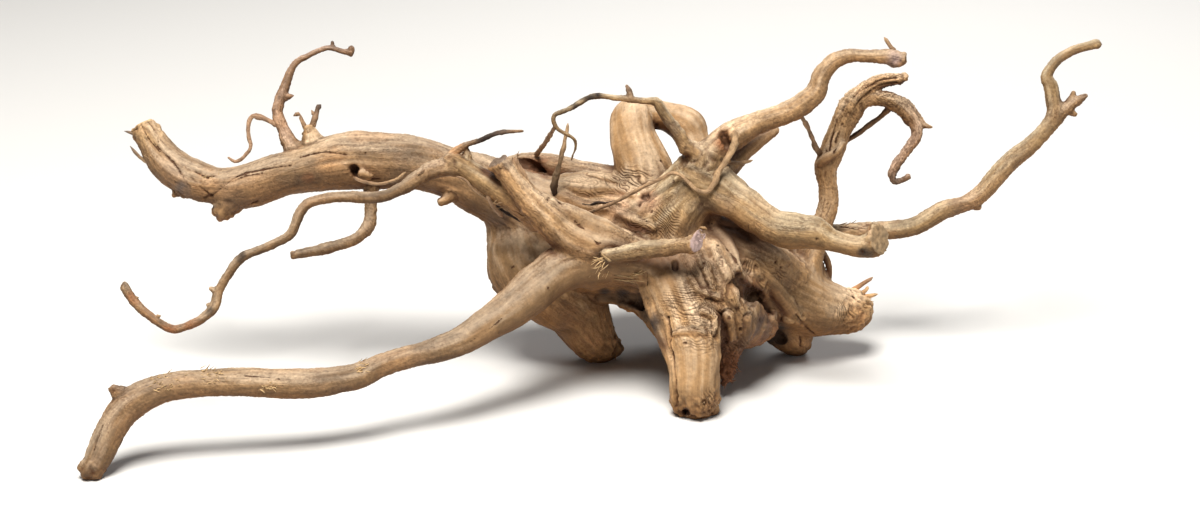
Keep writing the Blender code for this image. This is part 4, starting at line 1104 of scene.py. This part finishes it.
smoothHeight = relax(height[:, None], quads, times=12, share=0.6)[:, 0]
foldPhase, foldShare = np.zeros(len(vertices)), np.zeros(len(vertices))
for number, (centre, wide, tall, acrossFolds, spacing, depth) in enumerate(wrinkles):
    # folds: the size of the sine of the way across them, bent by noise, to the power 0.6, so
    # that crests are round and valleys sharp
    share = around(vertices, landed[centre], wide, tall, 1.3 * max(wide, tall))
    who = np.flatnonzero(share > 0.01)
    share, points = share[who], vertices[who]
    offset = (points - landed[centre]) / step
    across = (offset @ sightRight) * acrossFolds[0] + (offset @ sightUp) * acrossFolds[1]
    bend = 0.5 * noise(points, 16 * mm, 20 + number) + 0.22 * noise(points, 6 * mm, 40 + number)
    phase = across / spacing / 2 + bend
    fold = np.abs(np.sin(math.pi * phase))**0.6
    uneven = np.clip(0.7 + 0.5 * noise(points, 10 * mm, 60 + number), 0.1, 1.5)
    height[who] += share * uneven * depth * mm * (fold - 0.75)
    stronger = share * depth > foldShare[who]
    foldPhase[who[stronger]] = 2 * phase[stronger]
    foldShare[who[stronger]] = (share * depth)[stronger]

# distance to the nearest crack or pit, in its own half-widths
markGap = np.full(len(vertices), 3.0)
for centre, radius, tall in knots:
    # a round swelling less a dimple, both bell curves, and faint rings, a fading cosine
    d = np.linalg.norm(vertices - landed[centre], axis=1) / (radius * step)
    who = d < 3
    rings = 0.10 * np.cos(6.0 * d[who]) * np.exp(-(d[who] / 1.6)**2)
    dimple = 0.75 * np.exp(-(d[who] / 0.38)**2)
    height[who] += 1.2 * tall * mm * (np.exp(-d[who]**2) - dimple + rings)
    markGap[who] = np.minimum(markGap[who], d[who] / 0.20)
for centre, radius, depth in pits:
    d = np.linalg.norm(vertices - landed[centre], axis=1) / (radius * step)
    who = d < 3
    height[who] -= depth * mm * np.exp(-d[who]**2)
    markGap[who] = np.minimum(markGap[who], d[who])
waver = np.clip(1 + 0.5 * noise(vertices, 8 * mm, 10), 0.25, 2.0)
for path, width, depth in cracks:
    line = np.array([landed[point] for point in path])
    d = fromPath(vertices, line) / (width * step * waver)
    who = d < 3
    height[who] -= depth * mm * np.exp(-d[who]**2)
    markGap[who] = np.minimum(markGap[who], 1.5 * d[who])

calm = np.ones(len(vertices))
for centre, wide, tall in smoothPlaces:
    smooth = around(vertices, landed[centre], wide, tall, 1.2 * max(wide, tall))
    calm *= 1 - relief["smoothing"] * smooth
height = smoothHeight + (height - smoothHeight) * calm
height *= ramp(vertices[:, 2], *relief["floorFade"])
sawn = np.zeros(len(vertices))
cutColour = np.zeros((len(vertices), 3))
for (at, outward, reach), finish in zip(cuts, cutFinish):
    offset = vertices - at
    flat = (np.abs(offset @ outward) < 0.8 * mm) & ((offset**2).sum(1) < reach**2)
    sawn[flat] = 1.0
    cutColour[flat] = palette[finish]
height *= 1 - relief["sawnLoss"] * sawn
height += sawn * relief["sawMarks"] * noise(vertices, 2.6 * mm, 12)
lowHeight = relax(height[:, None], quads, times=8, share=0.6)[:, 0]
shown = vertices + normals * height[:, None]
shown[:, 2] = np.maximum(shown[:, 2], 0.0)
shownNormals = normalsOf(shown, quads)
print("relief done")


tinting = {
    "cast": [0.92, 0.845, 0.72],  # the limbs' own tints are multiplied by this
    "undersideShade": [0.50, 0.38, 0.25],  # and where the wood faces down by this, a painted shade
    "undersideShadeFrom": (-0.75, 0.35),  # heights of the normal between which that fades out
    "topHighlight": [1.42, 1.74, 2.45],  # and where it faces up by this, a painted highlight
    "topHighlightFrom": (0.1, 1.0),
    "streaks": {"fine": 0.075, "middle": 0.065, "broad": 0.05},  # how much they change the tone
    "calmStreaks": 0.12,  # how much of that is left in a smooth place
    "rust": 0.22,  # how far the warm patches go towards the rust tint
    "valleyShade": 0.62,  # how far valleys go towards the crease shade colour, as painted shade
    "valleyShadeDepth": 0.55 * mm,
    "crest": 1.3,  # crests are multiplied by this, a painted highlight
    "crestHeight": 0.5 * mm,
    "occlusionShade": 1.35,  # how fast a place that other wood closes in goes towards the crease shade colour: painted shade
    "occlusionShadeMost": 0.94,
    "lookouts": (6 * mm, 15 * mm),  # how far out from the skin other wood is looked for
    # painted shade: how far the inside of a hollow goes towards the crack colour
    "hollow": 0.8,
    "sawn": 0.85,
    "stainDepth": 2.2,  # a stain's half-size along the line of sight, as a share of that across
    "darkest": 0.004,
}


def mix(colour, other, share):
    # the colour plus the share of what the other differs from it by
    return colour + (other - colour) * share[:, None]


# colour: the limbs' own tint, streaked along the grain; painted shade below, in valleys, closed-in
# places and hollows; painted highlights on tops and crests; then stains, a few of which are
# painted shade
tone = sum(weight * streak[name] for name, weight in tinting["streaks"].items())
tone = 1 + (tinting["calmStreaks"] + (1 - tinting["calmStreaks"]) * calm) * tone
tone += 0.10 * noise(vertices, 40 * mm, 13) + (0.07 + 0.08 * knobbly) * noise(vertices, 6 * mm, 14)
tint = near["tint"][:, :3] * tinting["cast"] * np.clip(tone, 0.55, 1.5)[:, None]
# painted shade on faces that turn down
undersideShade = 1 - ramp(normals[:, 2], *tinting["undersideShadeFrom"])
tint = mix(tint, tint * tinting["undersideShade"], undersideShade)
# painted highlight on faces that turn up
topHighlight = ramp(normals[:, 2] + 0.2 * streak["middle"], *tinting["topHighlightFrom"])
tint = mix(tint, tint * tinting["topHighlight"], topHighlight)
warm = ramp(noise(vertices, 32 * mm, 15) + 0.4 * streak["broad"], 0.2, 1.8)
tint = mix(tint, palette["rust"], tinting["rust"] * warm)
# painted shade in the relief's valleys
valleyShade = np.clip((lowHeight - height) / tinting["valleyShadeDepth"], 0.0, 1.0)
crest = np.clip((height - lowHeight) / tinting["crestHeight"], 0.0, 1.0)
tint = mix(tint, palette["creaseShade"], tinting["valleyShade"] * valleyShade)
# painted highlight on the relief's crests
tint = mix(tint, tint * tinting["crest"], crest)
# painted shade where other wood closes in round the skin
openness = [np.clip(fieldAt(wood, vertices + normals * reach) / reach, 0.0, 1.0)
            for reach in tinting["lookouts"]]
occlusionShade = 1 - np.mean(openness, axis=0)
occlusionShadeShare = np.clip(tinting["occlusionShade"] * occlusionShade, 0, tinting["occlusionShadeMost"])
tint = mix(tint, palette["creaseShade"] * 0.8, occlusionShadeShare)
blotch = np.clip(0.85 + 0.4 * noise(vertices, 7 * mm, 16), 0.2, 1.25)
grainy = (1 + 0.2 * streak["fine"])[:, None]
for centre, size, finish, strength in stains:
    share = around(vertices, landed[centre], size, size, tinting["stainDepth"] * size)
    tint = mix(tint, palette[finish] * grainy, np.clip(share * strength * blotch, 0, 1))
# painted shade inside the hollows
for start, end, radius in carved:
    outside = ramp(fromPath(vertices, np.array([start, end])), 0.85 * radius, 1.15 * radius)
    tint = mix(tint, palette["crack"], tinting["hollow"] * (1 - outside))
cutTint = cutColour * (1 + 0.12 * noise(vertices, 1.8 * mm, 17))[:, None]
tint = np.clip(mix(tint, cutTint, tinting["sawn"] * sawn), tinting["darkest"], 1.0)

# what the material draws finer than the mesh: folds and marks, and lines along the grain
foldMarks = np.stack([foldPhase, foldShare, markGap], 1)
linePhase = 1.1 * streak["middle"] + 0.5 * streak["broad"]
lineShare = 0.20 + 0.5 * grooved + 0.3 * knobbly + 0.3 * crownShare * blotch + 0.6 * gnarl
lineShare = np.clip(lineShare, 0, 1) * np.clip(blotch, 0.3, 1) * (1 - sawn) * calm
grainShare = (1 - 0.6 * crownShare) * (0.4 + 0.6 * calm)
lineMarks = np.stack([linePhase, lineShare, grainShare], 1)
print("tinted")


class Wire:
    # a socket of a material, wrapped so that shader maths reads as sums
    def __init__(self, tree, socket=None):
        self.tree = tree
        self.socket = socket

    def make(self, kind, settings, inputs, output=0):
        # a node of this type: first its settings, then the values or links of its sockets
        node = self.tree.nodes.new(kind)
        for name, value in settings.items():
            if name == "stops":
                ends = node.color_ramp.elements
                while len(ends) < len(value):
                    ends.new(1.0)
                for end, (position, shade) in zip(ends, value):
                    end.position = position
                    end.color = (shade, shade, shade, 1.0)
            else:
                setattr(node, name, value)
        for name, value in inputs.items():
            if isinstance(value, Wire):
                self.tree.links.new(value.socket, node.inputs[name])
            else:
                node.inputs[name].default_value = value
        return Wire(self.tree, node.outputs[output])

    def outputs(self):
        # all outputs of this wire's node, by name
        return {out.name: Wire(self.tree, out) for out in self.socket.node.outputs}

    def calc(self, operation, *values):
        return self.make("ShaderNodeMath", {"operation": operation}, dict(enumerate(values)))

    def crest(self):
        # the size of the sine of pi times x, to the power 0.6: round crests with sharp valleys
        # at the whole numbers
        wave = self.calc("ABSOLUTE", self.calc("SINE", self * math.pi))
        return self.calc("POWER", wave, 0.6)

    def __add__(self, other):
        return self.calc("ADD", self, other)

    def __radd__(self, other):
        return self.calc("ADD", other, self)

    def __sub__(self, other):
        return self.calc("SUBTRACT", self, other)

    def __rsub__(self, other):
        return self.calc("SUBTRACT", other, self)

    def __mul__(self, other):
        return self.calc("MULTIPLY", self, other)

    def __rmul__(self, other):
        return self.calc("MULTIPLY", other, self)


woodFinish = {
    "hair": {"Scale": 620, "Detail": 3.0, "Roughness": 0.6},  # fine lines, across the grain
    "mottle": {"Scale": 330, "Detail": 4.0, "Roughness": 0.65},
    "pores": {"Scale": 330},
    "poreFields": {"Scale": 60.0, "Detail": 2.0},  # pores come in fields
    "poreEdge": [(0.0, 1.0), (0.16, 0.0)],
    "fieldEdge": [(0.52, 0.0), (0.66, 1.0)],
    "crackEdge": [(0.14, 0.9), (0.32, 0.0)],
    "hairContrast": 1.15,
    "mottleContrast": 0.85,
    "poreDark": 0.5,
    # painted shade: how far folds and grain lines go towards the crease colour; the lines are
    # partly the grain's own colour
    "foldDark": 0.75,
    "lineDark": 0.75,
    "tall": {"hair": 0.9, "mottle": 0.7, "pore": 0.4, "fold": 1.6, "line": 0.9, "crack": 1.5},
    "bump": 1.0,
    "bumpDepth": 0.75 * mm,
    "roughness": 0.66,
    "specular": 0.3,
}


def woodMaterial():
    # the tint painted on the mesh, times fine grain that follows the limb, mottling and dark
    # pores, and then painted shade along folds and cracks and along grain lines, which also show
    # the grain's own colour
    s = woodFinish
    material = bpy.data.materials.new("barkless root wood")
    material.use_nodes = True
    tree = material.node_tree
    surface = tree.nodes["Principled BSDF"]
    start = Wire(tree)

    def painted(name, output="Vector"):
        return start.make("ShaderNodeAttribute", {"attribute_name": name}, {}, output)

    def noiseOf(vector, settings):
        return start.make("ShaderNodeTexNoise", {}, {"Vector": vector, **settings})

    def edge(value, stops):
        return start.make("ShaderNodeValToRGB", {"stops": stops}, {"Fac": value})

    def parts(vector):
        return start.make("ShaderNodeSeparateXYZ", {}, {0: vector}).outputs()

    def blend(share, below, above, **settings):
        return start.make("ShaderNodeMix", {"data_type": "RGBA", **settings},
                          {0: share, 6: below, 7: above}, 2)

    at = start.make("ShaderNodeTexCoord", {}, {}, "Object")
    hair = noiseOf(painted("grainFlow"), s["hair"])
    mottle = noiseOf(at, s["mottle"])
    pore = start.make("ShaderNodeTexVoronoi", {}, {"Vector": at, **s["pores"]}, "Distance")
    pore = edge(pore, s["poreEdge"]) * edge(noiseOf(at, s["poreFields"]), s["fieldEdge"])
    folds, lines = parts(painted("foldMarks")), parts(painted("lineMarks"))
    fold = folds["Y"] * (1 - (folds["X"] + 0.25 * (mottle - 0.5)).crest())
    line = lines["Y"] * (1 - (lines["X"] + 0.12 * (hair - 0.5)).crest())
    crack = edge((folds["Z"] + 3.0 * (mottle - 0.5)) * (1 / 3), s["crackEdge"])
    light = (1 + s["hairContrast"] * lines["Z"] * (hair - 0.5)
             + s["mottleContrast"] * (mottle - 0.5) - s["poreDark"] * pore)
    grey = start.make("ShaderNodeCombineColor", {}, {"Red": light, "Green": light, "Blue": light})
    # the painted colour carries painted shade and painted highlights with the wood's own tint
    colour = blend(1.0, painted("woodTint", "Color"), grey, blend_type="MULTIPLY")
    # painted shade in the folds' valleys and in cracks and pits; the grain lines are partly the
    # grain's own colour and partly painted shade
    for share in (s["foldDark"] * fold, s["lineDark"] * line, crack):
        colour = blend(share, colour, (*palette["creaseShade"], 1.0), clamp_factor=True)
    rough = s["roughness"] + 0.25 * (mottle - 0.5) + 0.1 * pore
    tall = s["tall"]
    height = (tall["hair"] * lines["Z"] * hair + tall["mottle"] * mottle - tall["pore"] * pore
              - tall["fold"] * fold - tall["line"] * line - tall["crack"] * crack)
    bump = start.make("ShaderNodeBump", {},
                      {"Height": height, "Strength": s["bump"], "Distance": s["bumpDepth"]})
    for name, wire in (("Base Color", colour), ("Roughness", rough), ("Normal", bump)):
        tree.links.new(wire.socket, surface.inputs[name])
    surface.inputs["Specular IOR Level"].default_value = s["specular"]
    return material


material = woodMaterial()


def addPiece(name, points, faces, colours, vectors, pointNormals=None):
    # a mesh object at the origin with its paint and its mark coordinates on the vertices
    mesh = bpy.data.meshes.new(name)
    mesh.from_pydata(points, [], faces)
    opaque = np.concatenate([colours, np.ones((len(points), 1))], axis=1)
    # the colour holds painted shade and painted highlights as well as the wood's own colour
    mesh.attributes.new("woodTint", "FLOAT_COLOR", "POINT").data.foreach_set(
        "color", opaque.astype(np.float32).ravel())
    for attribute, values in vectors.items():
        mesh.attributes.new(attribute, "FLOAT_VECTOR", "POINT").data.foreach_set(
            "vector", np.asarray(values, np.float32).ravel())
    mesh.materials.append(material)
    mesh.polygons.foreach_set("use_smooth", np.ones(len(mesh.polygons), bool))
    if pointNormals is not None:
        mesh.normals_split_custom_set_from_vertices(pointNormals)
    piece = bpy.data.objects.new(name, mesh)
    bpy.context.collection.objects.link(piece)
    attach(piece, "root")
    return piece


def closeEnds(corners, faces):
    # fills the open outlines where the wood is divided, facing away from the slab's middle; they
    # lie in one layer of the lattice, whose whole-number coordinates keep them from crossing
    work = bmesh.new()
    made = [work.verts.new(corner) for corner in corners.astype(float)]
    for face in faces:
        work.faces.new([made[n] for n in face])
    work.verts.index_update()
    rim = [e for e in work.edges if e.is_boundary]
    centre = 0.5 * (corners[:, 0].min() + corners[:, 0].max())
    caps = []
    for sign in (-1, 1):
        edges = [e for e in rim if (e.verts[0].co.x - centre) * sign > 0]
        if not edges:
            continue
        filled = bmesh.ops.triangle_fill(work, use_beauty=True, use_dissolve=False, edges=edges,
                                         normal=(float(sign), 0.0, 0.0))
        for item in filled["geom"]:
            if isinstance(item, bmesh.types.BMFace):
                ring = [v.index for v in item.verts]
                a, b, c = (corners[n] for n in ring[:3])
                if np.cross(b - a, c - a)[0] * sign < 0:
                    ring.reverse()
                caps.append(ring)
    left = sum(e.is_boundary for e in work.edges)
    work.free()
    return caps, left


pieceNames = ["wood_left", "wood_left_middle", "wood_right_middle", "wood_right"]
layer = cells[quads, 0].max(1)
cutLayers = np.quantile(layer, np.linspace(0, 1, len(pieceNames) + 1))  # about as many quads each
cutLayers[0], cutLayers[-1] = -np.inf, np.inf
for name, low, high in zip(pieceNames, cutLayers, cutLayers[1:]):
    chosen = quads[(layer > low) & (layer <= high)]
    used, flatIndex = np.unique(chosen, return_inverse=True)
    faces = flatIndex.reshape(-1, 4).tolist()
    caps, left = closeEnds(cells[used], faces)
    vectors = {"grainFlow": near["flow"], "foldMarks": foldMarks, "lineMarks": lineMarks}
    vectors = {attribute: values[used] for attribute, values in vectors.items()}
    addPiece(name, shown[used], faces + caps, tint[used], vectors,
                               shownNormals[used])
    print(f"{name}: {len(faces)} quads, {len(caps)} closing triangles, {left} open edges")
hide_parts("spiderwood_root")


def sweep(route, seed, sides=12, spacing=3.0, knobbly=0.16):
    # a tube: a ring of points at each place along the route, of the route's own half-width
    # swelled by noise, drawn in to a rounded tip at both ends by a quarter circle
    limb = makeLimb("tube", route, spacing)
    count = len(limb["line"])
    side = np.vstack([limb["side"], limb["side"][-1:]])[:, None]
    other = np.vstack([limb["other"], limb["other"][-1:]])[:, None]
    angle = (np.arange(sides) / sides * 2 * math.pi)[None, :, None]
    along = limb["along"]
    fromEnd = np.minimum(along, along[-1] - along)
    tip = np.sqrt(np.clip(1 - (1 - np.clip(fromEnd / limb["radius"], 0, 1))**2, 0.04, 1))
    outward = np.cos(angle) * side + np.sin(angle) * other
    plain = (limb["line"][:, None] + outward * limb["radius"][:, None, None]).reshape(-1, 3)
    swell = noise(plain, 5 * mm, seed) + 0.5 * noise(plain, 2.4 * mm, seed + 1)
    size = (limb["radius"] * tip)[:, None, None] * (1 + knobbly * swell.reshape(count, sides, 1))
    rings = limb["line"][:, None] + outward * size
    points = np.concatenate([rings.reshape(-1, 3), limb["line"][:1], limb["line"][-1:]])
    row, turn = np.meshgrid(np.arange(count - 1), np.arange(sides), indexing="ij")
    a, b = row * sides + turn, row * sides + (turn + 1) % sides
    faces = np.stack([a, b, b + sides, a + sides], -1).reshape(-1, 4).tolist()
    first, last = count * sides, count * sides + 1
    faces += [[first, (n + 1) % sides, n] for n in range(sides)]
    end = (count - 1) * sides
    faces += [[last, end + n, end + (n + 1) % sides] for n in range(sides)]
    lengthwise = np.broadcast_to(grainStretch * along[:, None, None], size.shape)
    ringFlow = np.concatenate([np.cos(angle) * size, np.sin(angle) * size, lengthwise], axis=2)
    flow = np.concatenate([ringFlow.reshape(-1, 3), ringFlow[0, :1], ringFlow[-1, :1]])
    share = np.concatenate([np.repeat(along / along[-1], sides), [0.0, 1.0]])
    return points, faces, flow, share


tubeMarks = {"lines": 1.3, "lineFeature": 5 * mm, "lineShare": 0.4, "farFromMarks": 3.0}


def gather(name, tubes):
    # several tubes as one piece, with faint grain lines and no folds or cracks
    points, faces, colours, flows, base = [], [], [], [], 0
    for tubePoints, tubeFaces, tubeColours, tubeFlow in tubes:
        points.append(tubePoints)
        faces += [[n + base for n in face] for face in tubeFaces]
        colours.append(tubeColours)
        flows.append(tubeFlow)
        base += len(tubePoints)
    print(f"{name}: {len(faces)} faces")
    points = np.concatenate(points)
    phase = tubeMarks["lines"] * noise(points, tubeMarks["lineFeature"], 95)
    still = np.ones(len(points))
    addPiece(name, points, faces, np.concatenate(colours), {
        "grainFlow": np.concatenate(flows),
        "foldMarks": np.stack([0 * still, 0 * still, tubeMarks["farFromMarks"] * still], 1),
        "lineMarks": np.stack([phase, tubeMarks["lineShare"] * still, still], 1)})


tubes = []
for number, (name, route) in enumerate(threadRoutes.items()):
    points, faces, flow, share = sweep(route, 100 + 3 * number)
    first, last = (palette[tone] for tone in threadFinish.get(name, ("brown", "pale")))
    uneven = 1 + 0.14 * noise(points, 4 * mm, 90) + 0.10 * noise(points, 1.8 * mm, 91)
    paint = mix(first, last, share**1.4) * uneven[:, None]
    tubes.append((points, faces, np.clip(paint, tinting["darkest"], 1), flow))
gather("thread_roots", tubes)

fibreShape = {
    "beside": 40,  # steps nearer or further than the middle of the tuft at which one can grow
    "reach": (0.5, 1.2),  # of the tuft's length
    "lift": (0.1, 0.45),  # how far it rises towards the viewer, as a share of its reach
    "curl": 0.35,  # how far it bends, in radians
    "taper": 0.75,
    "toneSpread": 0.25,
    "knots": (0.0, 0.35, 0.7, 1.0),  # shares of its reach at which its route is drawn
}

tubes = []
draw = np.random.default_rng(404)
for centre, wide, tall, count, length, heading, spread, thin, tone in fibres:
    # each fibre runs out from its root in a heading that turns by the curl as it goes
    spots = np.array(centre) + draw.uniform(-1, 1, (count, 2)) * [wide, tall]
    points, hit = land(limbs, spots)
    roots = drawn(points)
    beside = np.abs(roots[:, 2] - drawn(landed[centre][None])[0, 2]) < fibreShape["beside"]
    for root in roots[hit & beside]:
        turn = math.radians(heading + draw.uniform(-spread, spread))
        reach = length * draw.uniform(*fibreShape["reach"])
        lift = -reach * draw.uniform(*fibreShape["lift"])
        curl = draw.uniform(-fibreShape["curl"], fibreShape["curl"])
        t = np.array(fibreShape["knots"])
        route = np.stack([
            root[0] + reach * t * np.cos(turn + curl * t),
            root[1] + reach * t * np.sin(turn + curl * t),
            root[2] + 1.0 + lift * t, thin * (1 - fibreShape["taper"] * t)], 1)
        points, faces, flow, share = sweep(route, 7, sides=5, spacing=reach / 5, knobbly=0.1)
        paint = palette[tone] * (1 + fibreShape["toneSpread"] * draw.uniform(-1, 1))
        paint = np.clip(paint, tinting["darkest"], 1)
        tubes.append((points, faces, np.tile(paint, (len(points), 1)), flow))
gather("loose_fibres", tubes)


studio = {
    "floor": linear(222, 221, 219),
    "floorRadius": 7.0,
    "floorRoughness": 0.9,
    "sky": (0.96, 0.97, 1.0),
    "skyStrength": 0.09,
    "aim": (0, 0, 0.1),
    "lights": {  # position, size, energy, colour
        "key": ((-0.30, -0.85, 2.5), 1.3, 125, (1.0, 0.97, 0.92)),
        "fill": ((1.6, -1.2, 0.9), 1.4, 3, (0.94, 0.97, 1.0)),
        "rim": ((0.6, 1.6, 1.3), 1.0, 13, (1.0, 1.0, 1.0)),
    },
}


def addFloor(corners=64):
    # a wide pale disc under the root
    turn = np.linspace(0, 2 * math.pi, corners, endpoint=False)
    ring = studio["floorRadius"] * np.stack([np.cos(turn), np.sin(turn), 0 * turn], 1)
    disc = bpy.data.meshes.new("floor")
    disc.from_pydata(ring, [], [list(range(corners))])
    paint = bpy.data.materials.new("pale floor")
    paint.use_nodes = True
    inputs = paint.node_tree.nodes["Principled BSDF"].inputs
    inputs["Base Color"].default_value = (*studio["floor"], 1.0)
    inputs["Roughness"].default_value = studio["floorRoughness"]
    disc.materials.append(paint)
    floor = bpy.data.objects.new("floor", disc)
    bpy.context.collection.objects.link(floor)


def addLight(name, position, size, energy, colour):
    # a round lamp turned towards the root
    lamp = bpy.data.lights.new(name, "AREA")
    lamp.shape = "DISK"
    lamp.size = size
    lamp.energy = energy
    lamp.color = colour
    light = bpy.data.objects.new(name, lamp)
    light.location = position
    light.rotation_mode = "QUATERNION"
    sight = mathutils.Vector(studio["aim"]) - light.location
    light.rotation_quaternion = sight.to_track_quat("-Z", "Y")
    bpy.context.collection.objects.link(light)


addFloor()
for name, light in studio["lights"].items():
    addLight(name, *light)
sky = bpy.data.worlds.new("studio")
sky.use_nodes = True
backdrop = sky.node_tree.nodes["Background"].inputs
backdrop["Color"].default_value = (*studio["sky"], 1.0)
backdrop["Strength"].default_value = studio["skyStrength"]
bpy.context.scene.world = sky
bpy.context.scene.view_settings.view_transform = "Standard"

lens = bpy.data.cameras.new("camera")
lens.sensor_width = 36.0  # mm, as is the focal length
lens.lens = lens.sensor_width * drawing["distance"] / drawing["pictureWidth"]
lens.clip_start, lens.clip_end = 0.05, 50.0
camera = bpy.data.objects.new("camera", lens)
camera.location = middle - sightAway * drawing["distance"] * step
camera.rotation_mode = "QUATERNION"
camera.rotation_quaternion = mathutils.Vector(sightAway).to_track_quat("-Z", "Y")
bpy.context.collection.objects.link(camera)
bpy.context.scene.camera = camera

print("finished")
